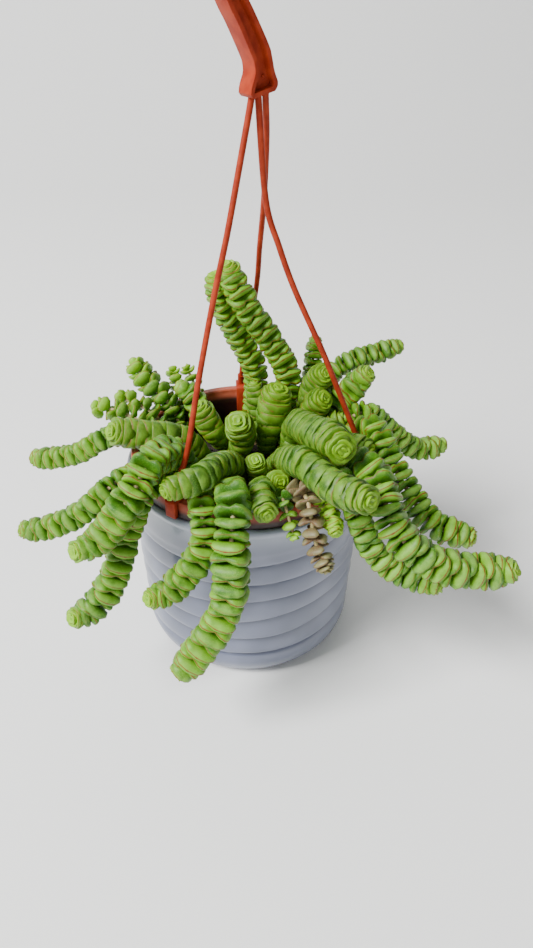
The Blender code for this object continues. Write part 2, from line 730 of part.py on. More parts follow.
def settle(chains):
    """Spreads the stems until no leaf pair touches another stem, the pots, the soil or the hanger.

    Each pair is drawn to its planned place, weakly along the view and more strongly across it.
    """
    names = list(chains)
    starts = np.cumsum([0] + [len(chains[name][0]) for name in names])
    planned = np.vstack([chains[name][0] for name in names])
    half = np.concatenate([chains[name][1] for name in names])
    owner = np.repeat(np.arange(len(names)), np.diff(starts))
    places = planned.copy()
    view = np.array(FRONT_VIEW)
    is_root = np.zeros(len(places), bool)
    is_root[starts[:-1]] = True
    inner = ~is_root
    inner[starts[1:] - 1] = False
    for step in range(SETTLE_STEPS):
        ease = max(0.0, 1.0 - step / (EASE_PART * SETTLE_STEPS))
        back = planned - places
        along = (back @ view)[:, None] * view
        places += ease * (DRAW_ACROSS * (back - along) + DRAW_ALONG * along)
        tangents = np.vstack([np.gradient(places[a:b], axis=0) for a, b in zip(starts, starts[1:])])
        tangents /= np.linalg.norm(tangents, axis=1)[:, None]
        places += PUSH_APART * push_from_each_other(places, half, owner)
        places += PUSH_OFF * push_from_hanger(places, half)
        places += PUSH_OFF * push_from_pots(places, half)
        places += PUSH_OVER * clear_stretches(places, half, owner)
        places += PUSH_OFF * push_from_soil(places, half, tangents)
        bend = np.zeros_like(places)
        ids = np.flatnonzero(inner)
        bend[ids] = (places[ids - 1] + places[ids + 1]) / 2 - places[ids]
        bend[ids] -= (planned[ids - 1] + planned[ids + 1]) / 2 - planned[ids]
        places += (STIFF_LEAST + STIFF_MORE * min(1.0, 2 * ease)) * bend
        run = planned[1:] - planned[:-1]
        rest = np.linalg.norm(run, axis=1)
        now = places[1:] - places[:-1]
        length = np.maximum(np.linalg.norm(now, axis=1), 1e-6)
        pull = STRETCH_BACK * now / length[:, None] * (length - rest)[:, None]
        pull[owner[1:] != owner[:-1]] = 0
        places[:-1] += pull
        places[1:] -= pull
        r = np.hypot(places[:, 0], places[:, 1])
        limit = np.where(is_root, np.minimum(1.0, ROOT_LIMIT_R / np.maximum(r, 1e-6)), 1.0)
        places[:, :2] *= limit[:, None]
        places[is_root, 2] = soil_height(np.hypot(places[is_root, 0], places[is_root, 1])) + BARE_FOOT
    return {name: (places[a:b], half[a:b]) for name, a, b in zip(names, starts, starts[1:])}


def ring_round(centre, side, along, radii, cup):
    """Eight points round a centre, from the side axis on. Long ones are cupped towards the tip."""
    other = np.cross(along, side)
    longest = max(radii)
    points = []
    for step, r in enumerate(radii):
        angle = math.pi / 4 * step
        lift = cup * max(0.0, 2 * r / longest - 1)
        points.append(centre + (side * math.cos(angle) + other * math.sin(angle)) * r + along * lift)
    return points


def stem_rings(places, half, kind):
    """The rings of one stem, from its foot in the soil to its tip, with pairs a quarter turn apart."""
    tangents, sides = rotated_frames(places, FRONT_VIEW)
    gaps = np.linalg.norm(np.diff(places, axis=0), axis=1)
    gaps = np.append(gaps, gaps[-1])
    up = np.array([0.0, 0.0, 1.0])
    level = sides[0] - up * sides[0][2]
    level = level / np.linalg.norm(level)
    foot = places[0] - up * (BARE_FOOT + HOLE_DEPTH - FOOT_END_GAP)
    mouth = places[0] - up * (BARE_FOOT - 0.6)
    rings = [ring_round(centre, level, up, [FOOT_R] * 8, 0) for centre in (foot, mouth)]
    lobes = np.array(PAIR_LOBES * 2)
    if kind == "full":
        lobes = np.maximum(lobes, FULL_LEAST)
    for index, centre in enumerate(places):
        along = tangents[index]
        side = sides[index]
        r = half[index]
        first_lobe = 1 + 2 * (index % 2)
        rings.append(ring_round(centre, side, along, r * np.roll(lobes, first_lobe), LEAF_CUP * r))
        if kind == "open" and index < len(places) - len(TIP_CLOSING) + 1:
            between = min(r, half[index + 1]) * OPEN_WAIST
            rings.append(ring_round(centre + along * gaps[index] * 0.5, side, along, [between] * 8, 0))
    tip = places[-1] + tangents[-1] * gaps[-1] * 0.45
    rings.append(ring_round(tip, sides[-1], tangents[-1], [half[-1] * 0.4] * 8, 0))
    return rings


def stem(name, places, half):
    kind = STEMS[name][2]
    bm = bmesh.new()
    loft(bm, stem_rings(places, half, kind))
    look = "withered" if name == "stem_withered" else "leaf"
    add_object(name, bm, look, 40)


def main():
    clear_scene()
    chains = settle(planned_chains())
    cover_pot()
    nursery_pot()
    soil([places[0][:2] for places, half in chains.values()])
    hook()
    for name in LEGS:
        hanger_leg(name)
    for name, (places, half) in chains.items():
        stem(name, places, half)


main()
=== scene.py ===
# %% [markdown]
# # A potted crassula with its hanger
# A trailing succulent grows in a plastic nursery pot with a hanger, and that pot sits in a
# ribbed ceramic cover pot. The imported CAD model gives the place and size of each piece. This
# lesson models the same pieces again with smooth surfaces, real leaves and node materials.

# %% Start
import math
import random

import bmesh
import bpy
import numpy as np
from mathutils import Matrix, Vector


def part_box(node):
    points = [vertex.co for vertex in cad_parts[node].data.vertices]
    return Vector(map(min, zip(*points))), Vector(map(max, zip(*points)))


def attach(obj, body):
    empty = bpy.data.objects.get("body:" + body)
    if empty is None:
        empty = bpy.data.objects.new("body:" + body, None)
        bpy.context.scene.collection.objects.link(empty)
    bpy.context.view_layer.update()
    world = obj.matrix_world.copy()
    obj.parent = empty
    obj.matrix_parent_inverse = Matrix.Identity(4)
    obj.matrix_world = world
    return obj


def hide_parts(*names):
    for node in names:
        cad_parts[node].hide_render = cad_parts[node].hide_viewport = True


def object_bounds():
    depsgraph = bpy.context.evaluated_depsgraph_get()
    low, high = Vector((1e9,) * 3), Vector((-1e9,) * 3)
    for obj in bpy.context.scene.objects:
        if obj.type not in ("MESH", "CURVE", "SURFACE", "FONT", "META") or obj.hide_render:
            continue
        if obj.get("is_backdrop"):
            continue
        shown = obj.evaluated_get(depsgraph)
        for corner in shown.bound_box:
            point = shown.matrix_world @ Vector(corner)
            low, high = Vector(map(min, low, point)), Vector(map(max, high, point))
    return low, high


MM = 0.001
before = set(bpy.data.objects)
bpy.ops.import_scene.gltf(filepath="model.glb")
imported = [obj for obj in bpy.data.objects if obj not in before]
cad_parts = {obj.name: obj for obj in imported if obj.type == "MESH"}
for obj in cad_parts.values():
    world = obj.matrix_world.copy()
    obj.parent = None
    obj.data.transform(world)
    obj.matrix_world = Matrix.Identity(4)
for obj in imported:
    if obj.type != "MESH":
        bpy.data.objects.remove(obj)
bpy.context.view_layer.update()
print("CAD nodes:", len(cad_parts))

# %% [markdown]
# ## Small helpers for modelling
# Blender's operators act on what is selected and active. So each step first makes one object
# active, and in edit mode the vertices or faces are picked by where they are, as a hand would
# pick them with a box. A `with` block switches edit mode on and off. Everything is deselected
# before a new shape is added, so that no step changes a piece that is done.

# %% Editing helpers
def make_active(obj):
    bpy.ops.object.select_all(action="DESELECT")
    obj.select_set(True)
    bpy.context.view_layer.objects.active = obj


class Editing:
    """Edit mode on one object. Vertices and faces are picked by a test on their place."""

    def __init__(self, obj):
        self.obj = obj

    def __enter__(self):
        make_active(self.obj)
        bpy.ops.object.mode_set(mode="EDIT")
        bpy.ops.mesh.select_mode(type="VERT")
        return self

    def __exit__(self, *_):
        bpy.ops.object.mode_set(mode="OBJECT")

    def pick(self, kind, test):
        bpy.ops.mesh.select_mode(type=kind)
        bpy.ops.mesh.select_all(action="DESELECT")
        bm = bmesh.from_edit_mesh(self.obj.data)
        for part in bm.verts if kind == "VERT" else bm.faces:
            part.select_set(bool(test(part)))
        bm.select_flush_mode()
        bmesh.update_edit_mesh(self.obj.data)

    def pick_points(self, test):
        self.pick("VERT", lambda vert: test(vert.co))

    def pick_faces(self, test):
        self.pick("FACE", lambda face: test(face.calc_center_median(), face.normal))

# %% [markdown]
# A modifier does one job on a whole piece, and applying it makes the result real points and
# faces. A finished piece gets its material, and the CAD nodes that it stands for are hidden.

# %% Finishing helpers
def finish_with(obj, kind, **settings):
    """Adds a modifier and applies it."""
    make_active(obj)
    made = obj.modifiers.new(kind.lower(), kind)
    for name, value in settings.items():
        setattr(made, name, value)
    bpy.ops.object.modifier_apply(modifier=made.name)


def smooth(obj, degrees):
    make_active(obj)
    bpy.ops.object.shade_smooth_by_angle(angle=math.radians(degrees))


def join(name, pieces):
    """Joins pieces into the first of them."""
    make_active(pieces[0])
    for piece in pieces:
        piece.select_set(True)
    bpy.ops.object.join()
    pieces[0].name = name
    pieces[0].data.name = name
    return pieces[0]


def dress(obj, look, slot, *nodes):
    """Gives a finished piece its material and its body, and hides the CAD nodes that it stands
    for.
    """
    make_active(obj)
    bpy.ops.object.transform_apply(location=True, rotation=True, scale=True)
    obj.data.materials.clear()
    obj.data.materials.append(look)
    if nodes:
        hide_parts(*nodes)
    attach(obj, "root")
    print(f"{obj.name}: {len(obj.data.polygons)} faces")

# %% [markdown]
# ## Writing shader maths as Python
# A procedural material is a chain of nodes. Linking dozens of Math nodes by hand is hard to
# read, so a small class wraps an output socket. Python's own operators on it add the nodes.

# %% Node expressions
class Signal:
    """An output socket. An operator on it adds a Math node."""

    def __init__(self, look, socket):
        self.look = look
        self.socket = socket

    def math(self, operation, *values):
        return self.look.node("Math", {"operation": operation}, dict(enumerate([self, *values])))

    def __add__(self, other):
        return self.math("ADD", other)

    __radd__ = __add__

    def __mul__(self, other):
        return self.math("MULTIPLY", other)

    __rmul__ = __mul__

    def __sub__(self, other):
        return self.math("SUBTRACT", other)

    def __rsub__(self, other):
        return self.look.node("Math", {"operation": "SUBTRACT"}, {0: other, 1: self})

    def between(self, low, high):
        """0 below low, 1 above high, and a soft step between them."""
        settings = {"interpolation_type": "SMOOTHSTEP"}
        return self.look.node("MapRange", settings, {0: self, 1: low, 2: high})

# %% [markdown]
# A material here starts from the Principled shader, which can show glaze, plastic, soil and
# leaves alike. Noise and cells are worked out from the place of each point in metres, so the
# size of a pattern is given in mm and is the same on every piece.

# %% Materials
def paint(red, green, blue):
    """A screen colour from 0 to 255 as Blender's linear colour."""
    parts = [value / 255 for value in (red, green, blue)]
    linear = [p / 12.92 if p <= 0.04045 else ((p + 0.055) / 1.055) ** 2.4 for p in parts]
    return (*linear, 1.0)


class Look:
    """One material. Keyword values are constants on the shader's own sockets."""

    def __init__(self, name, **constants):
        self.material = bpy.data.materials.new(name)
        self.material.use_nodes = True
        self.tree = self.material.node_tree
        self.shader = self.tree.nodes["Principled BSDF"]
        for socket, value in constants.items():
            title = socket.replace("_", " ").title().replace("Ior", "IOR")
            self.shader.inputs[title].default_value = value

    def feed(self, socket, value):
        if isinstance(value, Signal):
            self.tree.links.new(value.socket, socket)
        else:
            socket.default_value = value

    def node(self, kind, settings=None, inputs=None, output=0):
        """Adds a node. Its settings come first, then the values or links of its sockets."""
        made = self.tree.nodes.new("ShaderNode" + kind)
        for name, value in (settings or {}).items():
            setattr(made, name, value)
        for name, value in (inputs or {}).items():
            self.feed(made.inputs[name], value)
        return Signal(self, made.outputs[output])

    def place(self, scale=(1, 1, 1)):
        """The point on the piece in metres, which a Mapping node scales."""
        point = self.node("TexCoord", output="Object")
        return self.node("Mapping", inputs={"Vector": point, "Scale": scale})

    def height(self):
        """The height above the ground in metres."""
        return self.node("SeparateXYZ", inputs={0: self.place()}, output=2)

    def noise(self, size_mm, detail, vector=None):
        """Soft noise from 0 to 1, with patches of this size."""
        inputs = {"Scale": 1 / (size_mm * MM), "Detail": detail}
        inputs["Vector"] = vector or self.place()
        return self.node("TexNoise", inputs=inputs)

    def cells(self, size_mm):
        """The distance to the nearest of many scattered points."""
        inputs = {"Vector": self.place(), "Scale": 1 / (size_mm * MM)}
        return self.node("TexVoronoi", inputs=inputs)

    def value(self, name):
        """A number stored on the mesh."""
        return self.node("Attribute", {"attribute_name": name}, output="Fac")

    def mix(self, mask, *colours):
        """The first colour where the mask is 0, and the second where it is 1."""
        first, second = [paint(*c) if isinstance(c, tuple) else c for c in colours]
        settings = {"data_type": "RGBA"}
        return self.node("Mix", settings, {0: mask, 6: first, 7: second}, output=2)

    def bump(self, height, distance_mm, strength):
        inputs = {"Height": height, "Distance": distance_mm * MM, "Strength": strength}
        self.feed(self.shader.inputs["Normal"], self.node("Bump", inputs=inputs))

    def colour(self, value):
        self.feed(self.shader.inputs["Base Color"], value)

    def roughness(self, value):
        self.feed(self.shader.inputs["Roughness"], value)

# %% [markdown]
# ## The camera
# The plant is seen from the front and from above, so the camera looks down. It stands close,
# and a short lens makes the near leaves large. The camera is made first, because the rest is
# judged through it.

# %% Camera
VIEW_FROM = (0.0105, -0.3159, 0.3326)
VIEW_DOWN = math.radians(36.5)
VIEW_ROLL = math.radians(0.6)
LENS = 27.19
camera_data = bpy.data.cameras.new("camera")
camera_data.lens = LENS
camera_data.sensor_width = 36.0
camera_data.clip_start = 0.01
camera = bpy.data.objects.new("camera", camera_data)
bpy.context.scene.collection.objects.link(camera)
camera.matrix_world = (
    Matrix.Translation(VIEW_FROM)
    @ Matrix.Rotation(math.radians(90) - VIEW_DOWN, 4, "X")
    @ Matrix.Rotation(VIEW_ROLL, 4, "Z")
)
bpy.context.scene.camera = camera
print("camera at", [round(value, 3) for value in camera.location])

# %% [markdown]
# ## The cover pot
# The ceramic cover pot is thrown in one piece: a thick wall, a rounded foot and a plain bright
# rim. A cylinder with scaled rings could give it, but a lathe is nearer to the real way: half
# of the section is drawn as a line and spun round the axis.

# %% Lathe
def lathe(name, profile, steps):
    """Draws a profile of (r, z) points in mm, one extruded vertex after another, and spins it."""
    bpy.ops.object.select_all(action="DESELECT")
    bpy.ops.mesh.primitive_plane_add(size=MM)
    obj = bpy.context.object
    obj.name = name
    with Editing(obj):
        bpy.ops.mesh.select_all(action="SELECT")
        bpy.ops.mesh.merge(type="CENTER")
        bpy.ops.transform.translate(value=(profile[0][0] * MM, 0, profile[0][1] * MM))
        for (r, z), (next_r, next_z) in zip(profile, profile[1:]):
            step = ((next_r - r) * MM, 0, (next_z - z) * MM)
            bpy.ops.mesh.extrude_vertices_move(TRANSFORM_OT_translate={"value": step})
        bpy.ops.mesh.select_all(action="SELECT")
        bpy.ops.mesh.spin(steps=steps, angle=2 * math.pi, center=(0, 0, 0), axis=(0, 0, 1))
        bpy.ops.mesh.select_all(action="SELECT")
        bpy.ops.mesh.remove_doubles(threshold=0.00001)
        bpy.ops.mesh.normals_make_consistent(inside=False)
    return obj

# %% Cover pot wall
COVER_RIM_R = 64.2
COVER_RIM_Z = 111.5
COVER_WALL = 4.0
COVER_FLARE = 0.4
COVER_WALL_Z = (13.4, 107.5)
COVER_WALL_STEP = 0.95
COVER_FOOT_R = 48.0
COVER_BOTTOM_R = 60.0
COVER_BOTTOM_Z = 12.0
COVER_FLOOR = 5.0


def cover_wall_r(z):
    part = (z - COVER_BOTTOM_Z) / (COVER_RIM_Z - COVER_BOTTOM_Z)
    return COVER_BOTTOM_R + (COVER_RIM_R - COVER_FLARE - COVER_BOTTOM_R) * part


profile = [(0, 0.6), (COVER_FOOT_R - 3, 0.6), (COVER_FOOT_R - 1.5, 0), (COVER_FOOT_R, 0)]
profile += [(52.6, 1.3), (56.4, 3.6), (58.6, 7.0), (COVER_BOTTOM_R, COVER_BOTTOM_Z)]
profile += [(cover_wall_r(z), z) for z in np.arange(*COVER_WALL_Z, COVER_WALL_STEP)]
profile += [(COVER_RIM_R - 0.3, 108.3), (COVER_RIM_R, 109.3), (COVER_RIM_R - 0.3, 110.7)]
profile += [(COVER_RIM_R - 1.3, COVER_RIM_Z), (COVER_RIM_R - 2.8, COVER_RIM_Z - 0.1)]
profile += [(COVER_RIM_R - COVER_WALL, COVER_RIM_Z - 1.5), (60.0, 106), (56.0, 16)]
profile += [(COVER_FOOT_R, COVER_FLOOR), (0, COVER_FLOOR)]
cover = lathe("cover_pot_glazed", profile, 144)
print("cover pot:", len(cover.data.polygons), "faces")

# %% [markdown]
# Soft ribs run round the wall. They are not level, because a hand pulled them. A Displace
# modifier could raise them, but its textures don't follow a line that wanders round a pot. So
# each point of the outer wall is moved in towards the axis by the depth of the nearest groove.
# That depth is kept as an attribute, for the painted shade that darkens each groove.

# %% Cover pot ribs
RIB_PITCH = 13.4
RIB_LOWEST_Z = 20.0
RIB_DEPTH = 3.0
RIB_CREST = 0.16
RIB_LEAN = 1.8
RIB_TILT = 3.6
RIB_TILT_FROM = math.radians(275)
RIB_WAVES = ((0.8, 2, 1.3), (0.5, 3, 2.1))
RIBS_END_Z = 107.4
RIB_FADE_IN = 8
RIB_LAST = 5.65
RIB_FADE_OUT = 0.5


def rib_wave(azimuth, rib):
    """How far, in mm, the grooves wander up or down at this azimuth."""
    tilt = RIB_TILT * math.sin(azimuth - RIB_TILT_FROM)
    waves = [high * math.sin(many * azimuth + shift * rib) for high, many, shift in RIB_WAVES]
    return tilt + sum(waves)


def rib_dent(phase):
    """The dent of one rib, which bulges quickly above its groove and then leans back."""
    part = phase - math.floor(phase)
    if part < RIB_CREST:
        return (1 - part / RIB_CREST) ** 2
    return ((part - RIB_CREST) / (1 - RIB_CREST)) ** RIB_LEAN


groove_shades = []
for vert in cover.data.vertices:
    radius = math.hypot(vert.co.x, vert.co.y) / MM
    height = vert.co.z / MM
    groove_shades.append(0.0)
    if radius > cover_wall_r(height) - 1 and COVER_BOTTOM_Z < height < RIBS_END_Z:
        azimuth = math.atan2(vert.co.y, vert.co.x)
        rough_rib = (height - RIB_LOWEST_Z) / RIB_PITCH
        phase = (height - RIB_LOWEST_Z - rib_wave(azimuth, rough_rib)) / RIB_PITCH
        fade = min(1, (height - COVER_BOTTOM_Z) / RIB_FADE_IN)
        fade *= min(1, max(0, (RIB_LAST - phase) / RIB_FADE_OUT))
        dent = rib_dent(phase) * fade
        shift = 1 - RIB_DEPTH * dent / radius
        vert.co.x *= shift
        vert.co.y *= shift
        # This share is kept for the painted shade in the grooves.
        groove_shades[-1] = dent**3
cover.data.attributes.new("groove", "FLOAT", "POINT").data.foreach_set("value", groove_shades)
smooth(cover, 50)
print("deepest groove:", round(RIB_DEPTH * max(groove_shades), 2), "mm")

# %% [markdown]
# Its glaze is grey-blue and satin under a clear coat. Each groove gets a thin darker line of
# painted shade, and a painted highlight makes the glaze paler near the rim. Soft noise clouds
# the colour, and fine waves in the surface break up the gloss.

# %% Glaze
GLAZE_HIGHLIGHT_Z = (0.096, 0.108)
glaze = Look("satin_glaze", coat_weight=0.7, coat_roughness=0.08)
cloud = glaze.noise(28, 2).between(0.3, 0.7)
specks = glaze.cells(1.1).between(0.12, 0.05) * glaze.noise(6, 1).between(0.5, 0.7)
ground = glaze.mix(cloud, (97, 103, 124), (114, 120, 141))
# Painted shade: the colour is darkened along each groove.
ground = glaze.mix(glaze.value("groove") * 0.85, ground, (52, 58, 80))
# Painted highlight: the glaze is made paler in a band near the rim.
pale = glaze.height().between(*GLAZE_HIGHLIGHT_Z) * 0.6
ground = glaze.mix(pale, ground, (158, 166, 180))
glaze.colour(glaze.mix(specks * 0.25, ground, (98, 106, 130)))
glaze.roughness(0.34 + 0.12 * glaze.noise(9, 3))
glaze.bump(glaze.noise(14, 3), 0.5, 0.25)
dress(cover, glaze.material, "ceramic", "cover_pot")

# %% [markdown]
# ## The nursery pot
# The nursery pot is thin injection-moulded plastic. It hangs in the cover pot by a broad rim
# that folds over as a skirt. The lathe makes it too. The small corners of its section are cut
# off in the profile, so no bevel is needed.

# %% Nursery pot shape
NURSERY_RIM_Z = 120.0
profile = [(0, 20), (42.5, 20), (44, 21.5), (56.9, 110.8), (57.5, 118.8), (59.8, 118.8)]
profile += [(60.2, 111.8), (61.6, 111.8), (61.0, 119.4), (60.5, 120), (57.1, 120)]
profile += [(56.5, 119.4), (56.3, 116.5), (55.9, 116.0), (55.6, 110.8), (43, 21), (0, 21)]
nursery = lathe("nursery_pot_moulded", profile, 128)
smooth(nursery, 40)

# %% [markdown]
# The plastic is terracotta-coloured, with dust on it in soft patches. Below the rim its inside
# is painted dark brown as shade, because little light comes in there. One material does both,
# because the pot is one moulding: the height of a point decides between colour and painted shade.

# %% Terracotta plastic
NURSERY_SHADE_Z = (0.1135, 0.1175)
clay = Look("terracotta_plastic")
dust = clay.noise(7, 4).between(0.42, 0.72)
# Painted shade: the inside below the rim is darkened in the colour.
inside = 1 - clay.height().between(*NURSERY_SHADE_Z)
band = clay.mix(dust * 0.5, (158, 70, 44), (178, 100, 70))
clay.colour(clay.mix(inside, band, (40, 10, 6)))
clay.roughness(0.42 + 0.2 * dust)
clay.bump(clay.noise(1.6, 2), 0.1, 0.3)
dress(nursery, clay.material, "terracotta", "nursery_pot")

# %% [markdown]
# ## How the stems grow
# The stems of the imported model were grown by a rule: each has a few given points, and
# then all stems push each other, the pots, the soil and the hanger away until nothing
# touches. The same rule runs here, so the leaves land where the solids are. Each row gives a
# stem's width, the spacing of its pairs in the solids, the closer spacing of the leaves that
# are modelled here, and its points. All are in mm.

# %% Stem table
STEMS = {
    "tall_1": (14.2, 6.6, 4.6,
     [(15, 24), (25, 30, 138), (13, 30, 163), (-1, 27, 185), (-10, 25, 207)]),
    "tall_2": (12.8, 6.0, 4.2,
     [(-1, 33), (4, 34, 140), (-4, 34, 162), (-12, 33, 180), (-17, 32, 200)]),
    "rear_1": (9.8, 5.7, 3.9, [(27, 38), (37, 47, 129), (38, 58, 154)]),
    "rear_2": (11.6, 5.8, 3.9,
     [(38, 32), (49, 44, 136), (61, 50, 143), (75, 56, 145), (89, 62, 147)]),
    "rear_3": (15.5, 6.4, 4.9, [(45, 20), (54, 20, 128), (61, 21, 138), (66, 22, 152)]),
    "centre_1": (14.8, 5.8, 3.6, [(30, 22), (42, 26, 126), (42, 20, 151)]),
    "centre_2": (15.6, 5.8, 3.6, [(28, 10), (40, 13, 121), (42, 8, 143)]),
    "centre_3": (13.0, 5.8, 3.6, [(39, 6), (52, 9, 116), (58, 8, 131)]),
    "centre_4": (15.6, 5.8, 3.6, [(40, -12), (53, -24, 125), (65, -30, 132)]),
    "centre_5": (17.6, 5.7, 3.2,
     [(22, 8), (28, 6, 128), (30, -12, 134), (33, -32, 137), (39, -44, 141), (43, -47, 148)]),
    "centre_6": (15.0, 6.2, 3.6,
     [(11, 4), (21, -20, 121), (29, -40, 128), (35, -56, 132), (44, -70, 137), (54, -80, 144)]),
    "centre_7": (12.9, 5.7, 3.6, [(14, -25), (17, -37, 114), (18, -46, 128)]),
    "centre_8": (11.5, 5.7, 3.6, [(4, -20), (8, -27, 114), (5, -32, 131)]),
    "centre_9": (12.9, 5.7, 3.6, [(12, -45), (13, -58, 124), (13, -76, 126)]),
    "centre_10": (16.6, 5.7, 3.6, [(-10, 6), (-4, 5, 118), (-5, -3, 135)]),
    "centre_11": (17.8, 5.8, 3.6, [(12, 16), (14, 13, 122), (17, 12, 147)]),
    "centre_12": (11.0, 5.8, 3.6, [(4, 26), (5, 26, 122), (3, 28, 142)]),
    "right_1": (12.6, 5.7, 3.9,
     [(47, 6), (66, 15, 128), (84, 20, 111), (98, 24, 99), (115, 28, 101)]),
    "right_2": (13.7, 6.4, 4.5,
     [(47, -1), (64, -16, 131), (75, -33, 121), (90, -48, 104), (102, -51, 99), (115, -49, 96)]),
    "right_3": (15.5, 6.6, 4.6,
     [(34, -24), (53, -52, 131), (66, -72, 117), (79, -77, 109), (94, -77, 102), (126, -73, 97)]),
    "right_4": (13.0, 5.6, 4.2,
     [(36, -30), (44, -45, 131), (52, -56, 122), (62, -62, 99), (76, -64, 87), (97, -68, 82)]),
    "left_1": (14.7, 5.8, 3.6, [(-12, 16), (-17, 9, 117), (-26, 6, 139)]),
    "left_2": (15.6, 5.8, 3.6, [(-19, -4), (-32, -13, 129), (-49, -22, 138), (-65, -25, 142)]),
    "left_3": (11.8, 5.8, 3.9, [(-34, 8), (-66, -8, 126), (-92, -3, 112), (-119, 5, 103)]),
    "left_4": (11.8, 6.1, 4.1,
     [(-36, -12), (-58, -48, 122), (-79, -52, 109), (-98, -51, 101), (-111, -49, 98)]),
    "left_5": (15.2, 6.4, 4.2,
     [(-24, -18), (-41, -53, 137), (-49, -67, 130), (-63, -70, 112), (-79, -73, 101)]),
    "left_6": (14.2, 6.5, 4.4,
     [(-31, -30), (-45, -56, 127), (-54, -58, 109), (-66, -67, 78), (-84, -75, 59)]),
    "left_7": (12.6, 5.8, 3.6, [(1, -6), (-6, -35, 126), (-17, -62, 133), (-35, -67, 136)]),
    "front_1": (13.6, 6.2, 4.3,
     [(-11, -40), (-9, -65, 126), (-14, -77, 109), (-31, -79, 90), (-44, -81, 82)]),
    "front_2": (16.4, 6.8, 4.8,
     [(2, -37), (4, -66, 130), (-1, -84, 118), (-7, -91, 86), (-32, -97, 47)]),
    "back_1": (15.0, 5.6, 3.9, [(-30, 24), (-45, 34, 120), (-58, 42, 133), (-65, 46, 143)]),
    "back_2": (9.6, 5.7, 4.3, [(-30, 37), (-40, 44, 122), (-45, 50, 138)]),
    "back_3": (9.6, 5.7, 4.3, [(-22, 38), (-33, 44, 122), (-37, 50, 138)]),
    "back_4": (12.0, 5.4, 4.9, [(-38, 16), (-64, 24, 122), (-74, 30, 130)]),
    "back_5": (12.0, 5.4, 4.9, [(-42, 2), (-70, 12, 124), (-86, 20, 128)]),
    "back_6": (14.0, 5.8, 4.3, [(-20, 26), (-38, 34, 119), (-49, 36, 131)]),
    "withered": (11.5, 5.4, 4.6, [(28, -40), (31, -66, 123), (34, -71, 106), (41, -76, 93)]),
    "small_1": (9.4, 5.8, 3.9, [(31, -36), (37, -48, 127), (42, -60, 121), (43, -70, 116)]),
    "small_2": (8.4, 5.6, 4.6, [(22, -43), (24, -63, 123), (26, -73, 108)]),
    "small_3": (9.6, 4.8, 3.9, [(-32, -2), (-34, -2, 113)]),
    "small_4": (8.0, 4.8, 3.9, [(48, 1), (59, 0, 121), (63, 0, 127)]),
    "small_5": (10.5, 4.8, 3.9, [(32, -12), (46, -30, 122), (57, -37, 125)]),
    "small_6": (9.5, 4.8, 4.4, [(20, 34), (29, 38, 124)]),
    "small_7": (9.5, 4.8, 3.9, [(18, 12), (23, 16, 122)]),
}
print("stems:", len(STEMS))

# %% [markdown]
# ## Smooth lines through a few points
# A stem or a strand is known at a few points only. A Bezier curve object could round them, but
# it doesn't tell where a given part of its length lies. So a small function works out a smooth
# curve through the points. The routes of the hanger's strands are set out here as well.

# %% Smooth lines and strands
HOOK_X = 5.7
HOOK_TURN = math.radians(37)
HOOK_FOOT_Z = 283.3
STRAND_R = 1.4
STRAND_FOOT_R = 59.6
STRAND_FOOT_Z = 2.6
STRAND_RISE_R = 58.6
STRAND_RISE_Z = 7.0
LEGS = {
    "left": (237, -3.5,
     [(-26, -45, 145), (-20, -36, 177), (-13, -25, 210), (-7, -17, 235), (-2, -9, 259)]),
    "rear": (95, 3.6, [(-3, 55, 145), (4, 41, 188), (6, 31, 214), (8, 20, 239), (9, 9, 267)]),
    "right": (-10, 0.0,
     [(39, -9, 172), (32, -8, 187), (22, -6, 208), (15, -4, 226), (9, -2, 245)]),
}
CURVE_STEPS = 24


def lengths(rows):
    return np.linalg.norm(rows, axis=1)


def radii(places):
    return np.hypot(places[:, 0], places[:, 1])


def unit(vector):
    return vector / np.linalg.norm(vector)


def smooth_path(points, steps):
    """Points on a smooth curve through the given ones, at the parts of its length in steps."""
    points = np.array(points, float)
    ends = np.vstack([2 * points[0] - points[1], points, 2 * points[-1] - points[-2]])
    fine = []
    for a, b, c, d in zip(ends, ends[1:], ends[2:], ends[3:]):
        slope = (c - a) / 2
        curve = (2 * a - 5 * b + 4 * c - d) / 2
        turn = (3 * b - a - 3 * c + d) / 2
        for t in np.linspace(0, 1, CURVE_STEPS, endpoint=False):
            fine.append(b + slope * t + curve * t**2 + turn * t**3)
    fine.append(points[-1])
    fine = np.array(fine)
    run = np.concatenate([[0], np.cumsum(lengths(np.diff(fine, axis=0)))])
    if callable(steps):
        steps = steps(run[-1])
    return np.stack([np.interp(steps * run[-1], run, fine[:, axis]) for axis in range(3)], 1)


def clip_point(azimuth, r, z):
    angle = math.radians(azimuth)
    return (r * math.cos(angle), r * math.sin(angle), z)


def strand_route(name):
    azimuth, along, way = LEGS[name]
    start = clip_point(azimuth, STRAND_FOOT_R, NURSERY_RIM_Z + STRAND_FOOT_Z)
    rise = clip_point(azimuth, STRAND_RISE_R, NURSERY_RIM_Z + STRAND_RISE_Z)
    foot = (HOOK_X + along * math.cos(HOOK_TURN), along * math.sin(HOOK_TURN), HOOK_FOOT_Z)
    return [start, rise, *way, foot]


for name in LEGS:
    length = lengths(np.diff(strand_route(name), axis=0)).sum()
    print(f"{name} strand: {length:.0f} mm long")

# %% [markdown]
# ## Where the leaf pairs are planned
# Leaf pairs stand further apart near the root and close up at the tip, and a stem is thinner
# at its root. The plan gives each pair of the solids a place and a half width. It doesn't yet
# know that stems can't pass through each other. Each stem starts just above the heaped soil.

